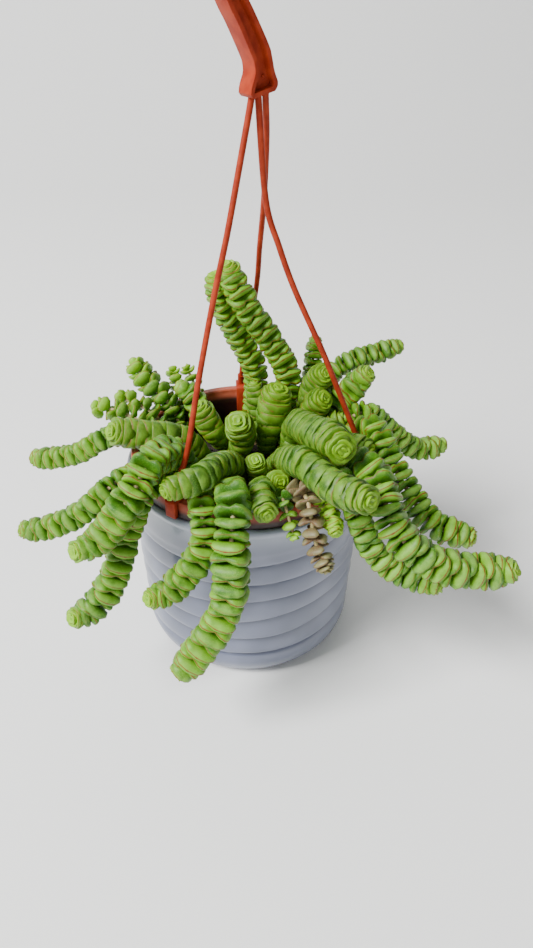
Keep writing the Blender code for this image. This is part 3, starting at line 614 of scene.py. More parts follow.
# %% Planned stems
SOIL_R = 56.0
SOIL_EDGE_Z = 98.0
SOIL_MID_Z = 102.0
BARE_FOOT = 3.0
BASE_WIDTH = 0.58
BASE_RUN = 38.0
SHORT_BASE = 0.6
TIP_GROWTH = (0.30, 0.52, 0.72, 0.88)
TIP_CLOSING = (0.4, 0.55, 0.75, 0.9)
ROOT_SPREAD = 1.8
ROOT_RUN = 26.0


def soil_height(r):
    return SOIL_MID_Z - (SOIL_MID_Z - SOIL_EDGE_Z) * (r / SOIL_R) ** 2


def pair_steps(length, pitch):
    """Where the solids' pairs stand, as parts of a stem's length. They close up at its tip."""
    places = [0.0]
    while places[-1] < length:
        index = len(places) - 1
        closing = TIP_CLOSING[index] if index < len(TIP_CLOSING) else 1.0
        spread = ROOT_SPREAD if places[-1] > length - ROOT_RUN else 1.0
        places.append(places[-1] + pitch * closing * spread)
    places = np.array(places[::-1])
    return 1.0 - places / places[0]


def grown_half(places, width):
    """Half widths along a stem, which thickens away from its root."""
    run = lengths(places - places[0])
    grown = np.clip(run / min(BASE_RUN, SHORT_BASE * run.max()), 0, 1)
    return width / 2 * (BASE_WIDTH + (1 - BASE_WIDTH) * grown)


def planned_chains():
    chains = {}
    for name, (width, pitch, _, points) in STEMS.items():
        x, y = points[0]
        root = (x, y, soil_height(math.hypot(x, y)) + BARE_FOOT)
        places = smooth_path([root, *points[1:]], lambda length: pair_steps(length, pitch))
        half = grown_half(places, width)
        for index, part in enumerate(TIP_GROWTH[: len(half)]):
            half[-1 - index] *= part
        chains[name] = (places, half)
    return chains


planned_stems = planned_chains()
print("planned pairs:", sum(len(places) for places, half in planned_stems.values()))

# %% [markdown]
# ## Keeping clear of pots and soil
# A real stem lies on a rim or on the soil and never sinks into it. A simulation could show
# that, but it is slow and hard to steer. Here each pot is a few thick lines in its section, and
# a pair that is too near a line gets a move that takes it out again.

# %% Pots and soil
CLEARANCE = 0.6
POT_LINES = (
    ((58.6, 118.3), (56.4, 98.0), 2.8),
    ((58.6, 118.3), (59.8, 118.3), 2.8),
    ((62.2, 109.5), (58.0, 12.0), 2.2),
)
FLOOR_CLEARANCE = 1.0
SOIL_OUTER_R = 57.0
SOIL_CLEARANCE = 1.2
FLAT_SHARE = 1.05


def push_from(offsets, wanted):
    """The move that brings each offset out to the wanted distance."""
    length = lengths(offsets)
    short = np.maximum(0, wanted - length)
    return offsets / np.maximum(length, 1e-6)[:, None] * short[:, None]


def push_from_line(points, start, end, wanted):
    """The move that brings each point out to the wanted distance from a line."""
    start = np.array(start, float)
    run = np.array(end, float) - start
    part = np.clip((points - start) @ run / (run @ run), 0, 1)
    return push_from(points - (start + part[:, None] * run), wanted)


def push_from_pots(places, half):
    """Keeps the pairs off the rims and walls, thick lines that are worked out in (r, z)."""
    r = radii(places)
    flat = np.stack([r, places[:, 2]], 1)
    moves = np.zeros_like(flat)
    for start, end, thick in POT_LINES:
        moves += push_from_line(flat + moves, start, end, half + thick + CLEARANCE)
    spoke = places[:, :2] / np.maximum(r, 1e-6)[:, None]
    return np.column_stack([spoke * moves[:, :1], moves[:, 1]])


def push_from_soil(places, half, tangents):
    """A level pair needs little room over the soil, and an upright one needs its half width."""
    lean = radii(tangents)
    r = radii(places)
    wanted = soil_height(r) + half * lean + SOIL_CLEARANCE
    lift = np.where(r < SOIL_OUTER_R, np.maximum(0, wanted - places[:, 2]), 0)
    lift = np.maximum(lift, half * FLAT_SHARE + FLOOR_CLEARANCE - places[:, 2])
    moves = np.zeros_like(places)
    moves[:, 2] = lift
    return moves


print("lines of the pots:", len(POT_LINES))

# %% [markdown]
# ## Keeping clear of the hanger and of other stems
# The strands, the clips and the other stems push in the same way. All pairs are compared in
# one table of distances, because a loop over them would take minutes. The stretch between two
# pairs is kept clear as well, above all where it crosses the rims.

# %% Hanger and other stems
CLIP_LINES = (((62.6, 113.0), (62.6, 119.0)), ((54.5, 107.0), (57.0, 119.0)))
CLIP_THICK = 3.8
RIM_EDGES_R = (56.4, 60.4)
RIM_SHARE = 1.12


def push_from_hanger(places, half):
    """Keeps the pairs off the strands and off both sides of the clips."""
    moves = np.zeros_like(places)
    for name, (azimuth, _, _) in LEGS.items():
        route = strand_route(name)
        for start, end in zip(route, route[1:]):
            moves += push_from_line(places, start, end, half + STRAND_R + CLEARANCE)
        for line in CLIP_LINES:
            start, end = [clip_point(azimuth, *point) for point in line]
            moves += push_from_line(places, start, end, half + CLIP_THICK)
    return moves


def push_from_each_other(places, half, owner):
    """Only pairs of different stems that are near enough to touch are worked out."""
    wanted = half[:, None] + half[None, :] + CLEARANCE
    square = (places**2).sum(axis=1)
    apart = square[:, None] + square[None, :] - 2 * places @ places.T
    near, far = np.nonzero((apart < wanted**2) & (owner[:, None] != owner[None, :]))
    moves = np.zeros_like(places)
    np.add.at(moves, near, push_from(places[near] - places[far], wanted[near, far]))
    return moves


def clear_stretches(places, half, owner):
    """Keeps the stretch between two pairs of a stem over the rims and off the rest."""
    r = radii(places)
    rise = np.maximum(r[1:] - r[:-1], 1e-6)
    between = np.maximum(half[1:], half[:-1])
    joined = owner[1:] == owner[:-1]
    lift = np.zeros(len(between))
    over_rim = np.zeros(len(between), bool)
    for edge in RIM_EDGES_R:
        part = np.clip((edge - r[:-1]) / rise, 0, 1)
        height = places[:-1, 2] + part * (places[1:, 2] - places[:-1, 2])
        crosses = (r[:-1] < edge) & (r[1:] >= edge) & joined
        wanted = NURSERY_RIM_Z + RIM_SHARE * between + CLEARANCE
        lift = np.maximum(lift, np.where(crosses, wanted - height, 0))
        over_rim |= crosses
    moves = np.zeros_like(places)
    moves[:-1, 2] += lift
    moves[1:, 2] += lift
    middles = (places[1:] + places[:-1]) / 2
    aside = push_from_hanger(middles, between)
    aside[~over_rim] += push_from_pots(middles, between)[~over_rim]
    aside[~joined] = 0
    moves[:-1] += aside / 2
    moves[1:] += aside / 2
    return moves


print("lines of a clip:", len(CLIP_LINES))

# %% [markdown]
# ## Letting the stems settle
# The moves are small and are repeated a few hundred times, while each pair is drawn back to its
# planned place. The pull along the view is weak, because a stem that moves nearer or further
# still looks right. Stiffness keeps the curves smooth. The pull fades out before the end, so
# that nothing is left touching.

# %% Settling
SETTLE_STEPS = 520
EASE_PART = 0.78
DRAW_ACROSS = 0.10
DRAW_ALONG = 0.02
PUSH_APART = 0.4
PUSH_OFF = 0.8
PUSH_OVER = 0.6
STIFF_LEAST = 0.15
STIFF_MORE = 0.3
STRETCH_BACK = 0.4
ROOT_LIMIT_R = 48.0
FRONT_VIEW = (0.0, 0.804, -0.595)


def settle(chains):
    """Spreads the stems until no pair touches another stem, a pot, the soil or the hanger.

    Each pair is drawn to its planned place, weakly along the view and more strongly across it.
    """
    names = list(chains)
    starts = np.cumsum([0] + [len(chains[name][0]) for name in names])
    planned = np.vstack([chains[name][0] for name in names])
    half = np.concatenate([chains[name][1] for name in names])
    owner = np.repeat(np.arange(len(names)), np.diff(starts))
    places = planned.copy()
    view = np.array(FRONT_VIEW)
    is_root = np.zeros(len(places), bool)
    is_root[starts[:-1]] = True
    inner = ~is_root
    inner[starts[1:] - 1] = False
    for step in range(SETTLE_STEPS):
        ease = max(0.0, 1.0 - step / (EASE_PART * SETTLE_STEPS))
        back = planned - places
        along = (back @ view)[:, None] * view
        places += ease * (DRAW_ACROSS * (back - along) + DRAW_ALONG * along)
        stems = [places[a:b] for a, b in zip(starts, starts[1:])]
        tangents = np.vstack([np.gradient(stem, axis=0) for stem in stems])
        tangents /= lengths(tangents)[:, None]
        places += PUSH_APART * push_from_each_other(places, half, owner)
        places += PUSH_OFF * push_from_hanger(places, half)
        places += PUSH_OFF * push_from_pots(places, half)
        places += PUSH_OVER * clear_stretches(places, half, owner)
        places += PUSH_OFF * push_from_soil(places, half, tangents)
        bend = np.zeros_like(places)
        ids = np.flatnonzero(inner)
        bend[ids] = (places[ids - 1] + places[ids + 1]) / 2 - places[ids]
        bend[ids] -= (planned[ids - 1] + planned[ids + 1]) / 2 - planned[ids]
        places += (STIFF_LEAST + STIFF_MORE * min(1.0, 2 * ease)) * bend
        run = planned[1:] - planned[:-1]
        rest = lengths(run)
        now = places[1:] - places[:-1]
        length = np.maximum(lengths(now), 1e-6)
        pull = STRETCH_BACK * now / length[:, None] * (length - rest)[:, None]
        pull[owner[1:] != owner[:-1]] = 0
        places[:-1] += pull
        places[1:] -= pull
        r = radii(places)
        limit = np.where(is_root, np.minimum(1.0, ROOT_LIMIT_R / np.maximum(r, 1e-6)), 1.0)
        places[:, :2] *= limit[:, None]
        places[is_root, 2] = soil_height(radii(places[is_root])) + BARE_FOOT
    return {name: places[a:b] for name, a, b in zip(names, starts, starts[1:])}


grown = settle(planned_stems)
strays = []
for name, places in grown.items():
    low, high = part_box("stem_" + name)
    middle = places[len(places) // 2] * MM
    if any(not low[axis] <= middle[axis] <= high[axis] for axis in range(3)):
        strays.append(name)
print("stems that left their solids:", strays)

# %% [markdown]
# ## The hanger
# The hanger is moulded in orange terracotta plastic: a flat hook with a raised edge round a
# thin web, three round strands that come out of its foot, and a saddle clip at the end of
# each strand that grips the nursery pot's rim. The hook's middle line is given first, with the
# plate's width at each point: a wide foot, a shaft and an arc that narrows to its end.

# %% Hook line
HOOK_LINE = [(0, 285.3, 10.4), (0, 286.3, 12.6), (0, 287.6, 13.4), (0.1, 289.6, 12.2)]
HOOK_LINE += [(0.1, 293, 9.2), (-0.5, 296.5, 8.5), (-1.8, 300, 8.6), (-8.4, 311, 8.1)]
HOOK_LINE += [(-12.1, 316.5, 8.0), (-15.4, 323, 8.0), (-17.4, 330, 7.8)]
HOOK_CENTRE = (-3.2, 338.4)
HOOK_R = 15.2
HOOK_WIDTH = 7.8
HOOK_NARROWS = 1.6
HOOK_STEPS = 72
ARC_FROM = 198
ARC_SWEEP = 238
ARC_STEPS = 10
for step in range(ARC_STEPS + 1):
    part = step / ARC_STEPS
    angle = math.radians(ARC_FROM - ARC_SWEEP * part)
    width = HOOK_WIDTH - HOOK_NARROWS * max(0.0, part - 0.5) * 2
    x = HOOK_CENTRE[0] + HOOK_R * math.cos(angle)
    HOOK_LINE.append((x, HOOK_CENTRE[1] + HOOK_R * math.sin(angle), width))
fine_line = smooth_path(HOOK_LINE, np.linspace(0, 1, HOOK_STEPS))
print("points on the hook's line:", len(fine_line))

# %% [markdown]
# A curve with a flat bevel would follow that line, but its width couldn't change so freely.
# So the hook starts as one edge of a plane, which is extruded step by step, and its points
# are moved to both sides of the line. The foot is cut a little askew. Then the strip gets its
# thickness, its faces are inset and sunk, and a bevel rounds it. The mould leaves a small pip
# on the foot.

# %% Hook plate
HOOK_THICK = 8.5
HOOK_WEB = 2.4
FOOT_TILT = math.radians(11)
FOOT_TOP_Z = 295.0
PIP_R = 0.8
PIP_X = 1.3
PIP_Z = 291.4
HOOK_FACE_Y = 4
HOOK_EDGE = 1.7
HOOK_SLOPE = 0.2
HOOK_ROUND = 0.9
bpy.ops.object.select_all(action="DESELECT")
bpy.ops.mesh.primitive_plane_add(size=MM)
hook = bpy.context.object
with Editing(hook) as editing:
    editing.pick_points(lambda co: co.y > 0)
    bpy.ops.mesh.delete(type="VERT")
    bpy.ops.mesh.select_all(action="SELECT")
    for step in range(len(fine_line) - 1):
        bpy.ops.mesh.extrude_region_move(TRANSFORM_OT_translate={"value": (0, 0, MM)})
for vert in hook.data.vertices:
    row = round(vert.co.z / MM)
    side = 1 if vert.co.x > 0 else -1
    x, z, width = fine_line[row]
    before = fine_line[max(row - 1, 0)]
    after = fine_line[min(row + 1, len(fine_line) - 1)]
    along = np.array([after[0] - before[0], after[1] - before[1]])
    foot = min(1.0, max(0.0, (FOOT_TOP_Z - z) / (FOOT_TOP_Z - HOOK_LINE[2][1])))
    askew = np.array([-math.sin(FOOT_TILT), math.cos(FOOT_TILT)])
    along = unit((1 - foot) * along / np.linalg.norm(along) + foot * askew)
    reach = side * width / 2
    vert.co = ((x + along[1] * reach) * MM, 0, (z - along[0] * reach) * MM)
finish_with(hook, "SOLIDIFY", thickness=HOOK_THICK * MM, offset=0)
with Editing(hook) as editing:
    for side in (1, -1):
        editing.pick_faces(
            lambda centre, normal: normal.y * side > 0.9 and abs(centre.y) > HOOK_FACE_Y * MM
        )
        bpy.ops.mesh.inset(thickness=HOOK_EDGE * MM, depth=0)
        sunk = -(HOOK_THICK - HOOK_WEB) / 2
        bpy.ops.mesh.inset(thickness=HOOK_SLOPE * MM, depth=sunk * MM)
sharp = {"limit_method": "ANGLE", "angle_limit": math.radians(40)}
finish_with(hook, "BEVEL", width=HOOK_ROUND * MM, segments=4, **sharp)
place = (PIP_X * MM, -HOOK_WEB / 2 * MM, PIP_Z * MM)
bpy.ops.object.select_all(action="DESELECT")
bpy.ops.mesh.primitive_uv_sphere_add(
    segments=16, ring_count=8, radius=PIP_R * MM, location=place
)
pip = bpy.context.object
bpy.ops.object.transform_apply(location=True, rotation=False, scale=False)
hook = join("hanger_hook", [hook, pip])
hook.matrix_world = Matrix.Translation((HOOK_X * MM, 0, 0)) @ Matrix.Rotation(HOOK_TURN, 4, "Z")
smooth(hook, 40)

# %% [markdown]
# A strand is a thin round rod, so it is drawn as a curve with a round bevel and then made a
# mesh. A clip is an outline in the section of the rim, drawn as one flat face. Solidify
# gives it its width, and a bevel rounds it as a mould would.

# %% Strands and clips
CLIP_WIDTH = 6.0
CLIP_ROUND = 0.5
STRAND_STEPS = 64
STRAND_SUNK = 1.0
COLLAR_R = 2.1


def tube(name, points, radius, sides):
    """A round strand along points in mm, made as a curve and then turned into a mesh."""
    curve = bpy.data.curves.new(name, "CURVE")
    curve.dimensions = "3D"
    curve.bevel_depth = radius * MM
    curve.bevel_resolution = sides
    curve.use_fill_caps = True
    line = curve.splines.new("POLY")
    line.points.add(len(points) - 1)
    for point, place in zip(line.points, points):
        point.co = (*(np.array(place) * MM), 1)
    obj = bpy.data.objects.new(name, curve)
    bpy.context.scene.collection.objects.link(obj)
    make_active(obj)
    bpy.ops.object.convert(target="MESH")
    return bpy.context.object


def clip(name, azimuth):
    """The saddle clip over the rim: a cut outline, given its width and rounded."""
    outline = [(61.9, 112.2), (64.4, 112.2), (64.4, 121.5), (63.4, 122.5), (55.4, 122.5)]
    outline += [(54.3, 121.5), (52.6, 105.0), (54.2, 105.0), (55.0, 113.0), (55.9, 120.3)]
    outline.append((61.9, 120.3))
    bpy.ops.object.select_all(action="DESELECT")
    bpy.ops.mesh.primitive_circle_add(vertices=len(outline), radius=MM, fill_type="NGON")
    obj = bpy.context.object
    for vert, (r, z) in zip(obj.data.vertices, outline):
        vert.co = (r * MM, 0, z * MM)
    obj.name = name
    finish_with(obj, "SOLIDIFY", thickness=CLIP_WIDTH * MM, offset=0)
    finish_with(obj, "BEVEL", width=CLIP_ROUND * MM, segments=3, limit_method="ANGLE")
    obj.matrix_world = Matrix.Rotation(math.radians(azimuth), 4, "Z")
    return obj


legs = {}
for name, (azimuth, along, _) in LEGS.items():
    foot = strand_route(name)[-1]
    rise = HOOK_LINE[0][1] - HOOK_FOOT_Z + along * math.tan(FOOT_TILT) + STRAND_SUNK
    route = [*strand_route(name), (foot[0], foot[1], foot[2] + rise)]
    route = smooth_path(route, np.linspace(0, 1, STRAND_STEPS))
    strand = tube("strand", route, STRAND_R, 3)
    thick = [route[0] - (0, 0, 1.5), route[0] + (0, 0, 1), route[2] + (0, 0, 0.5)]
    collar = tube("collar", thick, COLLAR_R, 3)
    parts = [clip("clip", azimuth), strand, collar]
    for part in parts:
        smooth(part, 45)
    make_active(parts[0])
    bpy.ops.object.transform_apply(location=True, rotation=True, scale=True)
    legs[name] = join("hanger_strand_" + name, parts)

# %% [markdown]
# The hanger's plastic is redder than the pot's, with faint flow marks. Its specular level is
# low, because a bright sheen would bleach such thin strands.

# %% Hanger plastic
plastic = Look("hanger_plastic", specular_ior_level=0.12)
flow = plastic.noise(5, 3)
plastic.colour(plastic.mix(flow.between(0.35, 0.7), (136, 42, 22), (158, 56, 30)))
plastic.roughness(0.42 + 0.14 * plastic.noise(2.5, 2))
plastic.bump(plastic.noise(2.2, 2), 0.12, 0.25)
dress(hook, plastic.material, "hanger", "hook")
for name, leg in legs.items():
    dress(leg, plastic.material, "hanger", "hanger_leg_" + name)

# %% [markdown]
# ## The soil
# Potting soil is a dark, lumpy heap. A cone that narrows downwards fills the nursery pot. Its
# top is inset into rings, raised in the middle and roughened by two sizes of cloud texture. A
# Displace modifier does that well, as soil has no pattern that it should follow.

# %% Soil heap
random.seed(5)
SOIL_FOOT_R = 43.0
SOIL_TOP_R = 53.4
SOIL_DEPTH = 76.6
SOIL_MIDDLE_Z = 59.7
SOIL_TOP_FROM = 97.9
SOIL_RINGS = 26
LUMPS = ((9, 3.2), (3, 2.2))
bpy.ops.object.select_all(action="DESELECT")
bpy.ops.mesh.primitive_cone_add(
    vertices=120, radius1=SOIL_FOOT_R * MM, radius2=SOIL_TOP_R * MM,
    depth=SOIL_DEPTH * MM, location=(0, 0, SOIL_MIDDLE_Z * MM),
)
soil = bpy.context.object
soil.name = "soil_heap"
with Editing(soil) as editing:
    editing.pick_faces(lambda centre, normal: normal.z > 0.9)
    for _ in range(SOIL_RINGS):
        bpy.ops.mesh.inset(thickness=2 * MM, depth=0)
make_active(soil)
bpy.ops.object.transform_apply(location=True, rotation=False, scale=False)
for vert in soil.data.vertices:
    if vert.co.z > SOIL_TOP_FROM * MM:
        vert.co.z = soil_height(math.hypot(vert.co.x, vert.co.y) / MM) * MM
top = soil.vertex_groups.new(name="top")
top.add([v.index for v in soil.data.vertices if v.co.z > SOIL_TOP_FROM * MM], 1.0, "REPLACE")
for size, strength in LUMPS:
    lumps = bpy.data.textures.new("lumps", "CLOUDS")
    lumps.noise_scale = size * MM
    finish_with(
        soil, "DISPLACE", texture=lumps, strength=strength * MM, direction="Z",
        texture_coords="LOCAL", vertex_group="top",
    )
smooth(soil, 70)

# %% [markdown]
# Loose crumbs and bits of bark lie on the soil. A particle system could strew them, but its
# copies aren't meshes of their own. So one crumb and one chip are modelled, and their copies
# are turned, scaled and joined.

# %% Crumbs and bark
bpy.ops.object.select_all(action="DESELECT")
bpy.ops.mesh.primitive_ico_sphere_add(subdivisions=1, radius=MM)
crumb = bpy.context.object
with Editing(crumb):
    bpy.ops.mesh.select_all(action="SELECT")
    bpy.ops.transform.vertex_random(offset=0.35 * MM, seed=3)
bpy.ops.object.select_all(action="DESELECT")
bpy.ops.mesh.primitive_cube_add(size=MM)
chip = bpy.context.object
with Editing(chip):
    bpy.ops.mesh.select_all(action="SELECT")
    bpy.ops.transform.resize(value=(3.2, 1.1, 0.5))
    bpy.ops.mesh.subdivide(number_cuts=1)
    bpy.ops.transform.vertex_random(offset=0.3 * MM, seed=8)


def scatter(name, shape, count, sizes, reach):
    """Copies a shape over the soil's top, each turned and scaled at random."""
    copies = []
    for _ in range(count):
        r = reach * math.sqrt(random.random())
        angle = random.uniform(0, 2 * math.pi)
        size = random.uniform(*sizes)
        turn = Matrix.Rotation(random.uniform(0, 6.28), 4, "Z")
        turn = turn @ Matrix.Rotation(random.uniform(-0.6, 0.6), 4, "X")
        height = soil_height(r) + 0.3
        place = (r * math.cos(angle) * MM, r * math.sin(angle) * MM, height * MM)
        mesh = shape.data.copy()
        mesh.transform(Matrix.Translation(place) @ turn @ Matrix.Scale(size, 4))
        copies.append(bpy.data.objects.new(name, mesh))
        bpy.context.scene.collection.objects.link(copies[-1])
    return join(name, copies)


crumbs = scatter("soil_crumbs", crumb, count=420, sizes=(0.5, 1.7), reach=52)
chips = scatter("bark_chips", chip, count=70, sizes=(0.6, 1.7), reach=50)
for shape in (crumb, chip):
    bpy.data.objects.remove(shape)

# %% [markdown]
# Damp soil is nearly black with paler grains, and bark is brown with a fine grain along its
# length. A bump makes both rough, as real dents that small would take too many faces.

# %% Soil looks
earth = Look("potting_soil", roughness=0.95)
grain = earth.cells(1.3)
damp = earth.noise(2.5, 4).between(0.4, 0.65)
earth.colour(earth.mix(damp, (24, 19, 15), (62, 47, 36)))
earth.bump(earth.noise(1.1, 4) + grain, 1.2, 0.9)
bark = Look("bark", roughness=0.85)
bark.colour(bark.mix(bark.noise(3, 3).between(0.35, 0.7), (72, 47, 32), (142, 102, 72)))
bark.bump(bark.noise(0.6, 3, bark.place((1, 5, 1))), 0.5, 0.7)
dress(soil, earth.material, "soil", "soil")
dress(crumbs, earth.material, "soil")
dress(chips, bark.material, "soil")

# %% [markdown]
# ## The leaf pairs
# The leaves stand in pairs, and each pair is turned a quarter turn from the next. A pair is
# one fat body with two lobes, grown together round the stalk, with a ridge all round where
# the flat upper side meets the bulging lower side. A sphere with its poles at the two leaf
# ends is a good start: its rings are scaled one by one into the lobes and the waist. Each
# kind of pair is modelled once, one unit long from the stalk to a leaf's end: flat open
# pairs, full ones that stack closely, buds and hearts for the tips, and narrow loose and
# thin ones.

# %% Pair shapes
RING_X = (0.0, 0.383, 0.707, 0.924)


def model_pair(name, widths, depths, upper, lower, edge, flank, rise, fold):
    """Widths and depths are half sizes at the four rings from the stalk to the leaf's end.

    Upper and lower scale the two sides, edge moves the points beside the ridge, flank widens
    the lower side, rise lifts the ends and fold lifts the long edges.
    """
    bpy.ops.object.select_all(action="DESELECT")
    bpy.ops.mesh.primitive_uv_sphere_add(
        segments=12, ring_count=8, radius=1, rotation=(0, math.pi / 2, 0)
    )
    pair = bpy.context.object
    pair.name = name
    bpy.ops.object.transform_apply(location=False, rotation=True, scale=False)
    ridge = [1.0 if abs(v.co.z) < 0.02 else 0.0 for v in pair.data.vertices]
    upside = [max(0.0, min(1.0, v.co.z * 4)) for v in pair.data.vertices]
    outer = [abs(v.co.x) for v in pair.data.vertices]

    def part_up(co):
        return co.z / max(math.hypot(co.y, co.z), 1e-9)

    moves = [
        (lambda co: abs(co.z) > 0.1 and abs(part_up(co)) < 0.6, (1, 1, edge)),
        (lambda co: co.z < -0.1 and abs(part_up(co)) < 0.6, (1, 1 + (flank - 1) / 4, 1)),
        (lambda co: part_up(co) < -0.8 and abs(co.y) > 0.05, (1, flank, 1)),
    ]
    for x, width, depth in zip(RING_X, widths, depths):
        radius = math.sqrt(1 - x * x)
        size = (1, width / radius, depth / radius)
        moves.append((lambda co, x=x: abs(abs(co.x) - x) < 0.05, size))
    moves += [(lambda co: co.z > 0, (1, 1, upper)), (lambda co: co.z < 0, (1, 1, lower))]
    with Editing(pair) as editing:
        for test, size in moves:
            editing.pick_points(test)
            bpy.ops.transform.resize(value=size, center_override=(0, 0, 0))
    for vert in pair.data.vertices:
        vert.co.z += rise * vert.co.x**2 + fold * vert.co.y**2
    for attribute, values in (("ridge", ridge), ("upside", upside), ("outer", outer)):
        pair.data.attributes.new(attribute, "FLOAT", "POINT").data.foreach_set("value", values)
    for attribute in ("tone", "young", "leafy"):
        pair.data.attributes.new(attribute, "FLOAT", "POINT")
    make_active(pair)
    bpy.ops.object.shade_smooth()
    print(f"{name}: {len(pair.data.polygons)} faces")
    return pair


OPEN_PLAN = ((0.74, 1.0, 0.95, 0.66), (0.66, 0.98, 1.0, 0.78))
FULL_PLAN = ((0.80, 0.92, 0.78, 0.52), (0.9, 1.0, 0.95, 0.7))
THIN_PLAN = ((0.24, 0.66, 0.80, 0.58), (0.6, 1.0, 0.9, 0.6))
PAIR_SHAPES = {
    "open": (*OPEN_PLAN, 0.28, 0.36, 1.15, 1.15, 0.16, -0.12),
    "full": (*FULL_PLAN, 0.12, 0.92, 1.1, 1.32, 0.30, 0.18),
    "bud": (*FULL_PLAN, 0.16, 0.66, 0.9, 1.2, 0.42, 0.22),
    "heart": (*FULL_PLAN, 0.30, 0.60, 0.9, 1.1, 0.55, 0.25),
    "loose": (*THIN_PLAN, 0.22, 0.40, 1.1, 1.1, 0.34, -0.06),
    "thin": (*THIN_PLAN, 0.20, 0.32, 1.1, 1.1, 0.26, 0.02),
}
PAIRS = {kind: model_pair(f"{kind}_pair", *shape) for kind, shape in PAIR_SHAPES.items()}

# %% [markdown]
# ## Planting the leaves
# Along each stem the pairs stand at the real spacing, closer and smaller towards the tip,
# where they close into a rosette. Stems with a wide spacing get open pairs, closely stacked
# ones get full pairs, and a few have loose leaves or, on the withered stem, thin ones. Each
# tip is a list of a pair's share of its full size and its distance from the end.

# %% Tips and spacing
LOOSE = ("back_1", "back_2", "back_3", "back_4", "back_5", "small_2", "small_6")
TIP_PULL = 0.8
OPEN_FROM = 3.8
FULL_TIP = ((0.22, 0.0), (0.38, 0.05), (0.55, 0.11), (0.72, 0.19), (0.87, 0.30), (0.96, 0.44))
OPEN_TIP = ((0.28, 0.0), (0.42, 0.03), (0.56, 0.08), (0.68, 0.15), (0.79, 0.26), (0.88, 0.42))
OPEN_TIP += ((0.95, 0.64),)
LOOSE_TIP = ((0.42, 0.0), (0.68, 0.10), (0.90, 0.28))
TIPS = {"open": OPEN_TIP, "full": FULL_TIP, "loose": LOOSE_TIP, "thin": OPEN_TIP}
TIP_KINDS = ("heart", "heart", "bud", "bud", "bud")


def leaf_kind(name):
    """Which shape of pair a stem has below its tip."""
    if name == "withered":
        return "thin"
    if name in LOOSE:
        return "loose"
    return "open" if STEMS[name][2] > OPEN_FROM else "full"


def fine_pairs(length, pitch, width, kind):
    """Distances from the tip, and each pair's share of its full size, from the tip down."""
    tip = TIPS[kind]
    places = [TIP_PULL + part * width for share, part in tip]
    shares = [share for share, part in tip]
    while places[-1] + pitch < length:
        places.append(places[-1] + pitch)
        shares.append(1.0)
    return np.array(places), np.array(shares)


kinds = [leaf_kind(name) for name in STEMS]
print({kind: kinds.count(kind) for kind in TIPS})

# %% [markdown]
# ## Directions along a stem
# Each pair needs a forward and a sideways direction. Worked out anew at every point, the
# sideways one would twist where the stem turns, so it is carried on from the point before. The
# ends of the long stems curve towards the viewer and up.

# %% Directions
FACING = {
    "centre_5": 4, "centre_6": 4, "centre_7": 3, "centre_8": 3, "centre_9": 4, "centre_10": 3,
    "left_2": 5, "left_3": 3, "left_4": 4, "left_5": 7, "left_6": 5, "left_7": 5, "front_1": 5,
    "front_2": 2.5, "right_2": 3, "right_3": 5, "right_4": 3, "withered": 4,
}
LIFT = {
    "front_1": 4, "front_2": 3, "left_3": 2, "left_4": 2, "left_5": 4, "left_6": 6, "right_3": 3,
}
FACING_RUN = 14.0


def rotated_frames(path):
    """A side direction at each point, carried along the path without twist."""
    tangents = np.gradient(path, axis=0)
    tangents /= lengths(tangents)[:, None]
    middle = len(path) // 2
    side = unit(np.cross(tangents[middle], FRONT_VIEW))
    sides = np.zeros_like(path)
    sides[middle] = side
    for order in (range(middle + 1, len(path)), range(middle - 1, -1, -1)):
        last = side
        for index in order:
            sides[index] = last = unit(last - tangents[index] * (last @ tangents[index]))
    return tangents, sides


def face_viewer(points, reach, lift):
    """Curves the end of a stem towards the viewer and up."""
    from_tip = lengths(points - points[-1])
    share = np.clip(1 - from_tip / FACING_RUN, 0, 1) ** 2
    return points + (np.array([0, 0, lift]) - np.array(FRONT_VIEW) * reach) * share[:, None]


print("stems that turn to the viewer:", len(FACING))

# %% [markdown]
# ## One stem with its leaves
# An Array modifier on a curve could repeat the pairs, but all would then be alike. Here each
# pair is a copy with a mesh of its own, turned a quarter turn from the last one, with small
# random turns and sizes. Attributes mark how light and how young it is, and whether a point
# is leaf or stalk. Some whole stems are lighter or darker than the rest. The stalk is a thin
# tube through the pairs.

# %% Leafy stems
TONE_SHIFT = {
    "tall_1": 0.4, "tall_2": 0.3, "rear_1": 0.3, "left_1": 0.3, "centre_7": 0.4, "centre_8": 0.3,
    "centre_3": -0.5, "centre_4": -0.2, "centre_5": -0.4, "centre_6": -0.4, "centre_9": -0.3,
    "left_7": -0.4, "small_1": 0.5, "small_2": -0.5, "withered": -0.2,
}
YOUNG_SHOOTS = ("small_1", "small_5")
FIRST_TURN = 26
TURN_JITTER = 6
TILT_JITTER = 0.07
SIZE_JITTER = (0.94, 1.05)
PAIR_HEIGHT = 0.62
TALL_LIMITS = (0.75, 1.45)
YOUNG_PAIRS = 6
STALK_R = 1.2
STALK_SHARE = 0.16
STALK_SUNK = 10


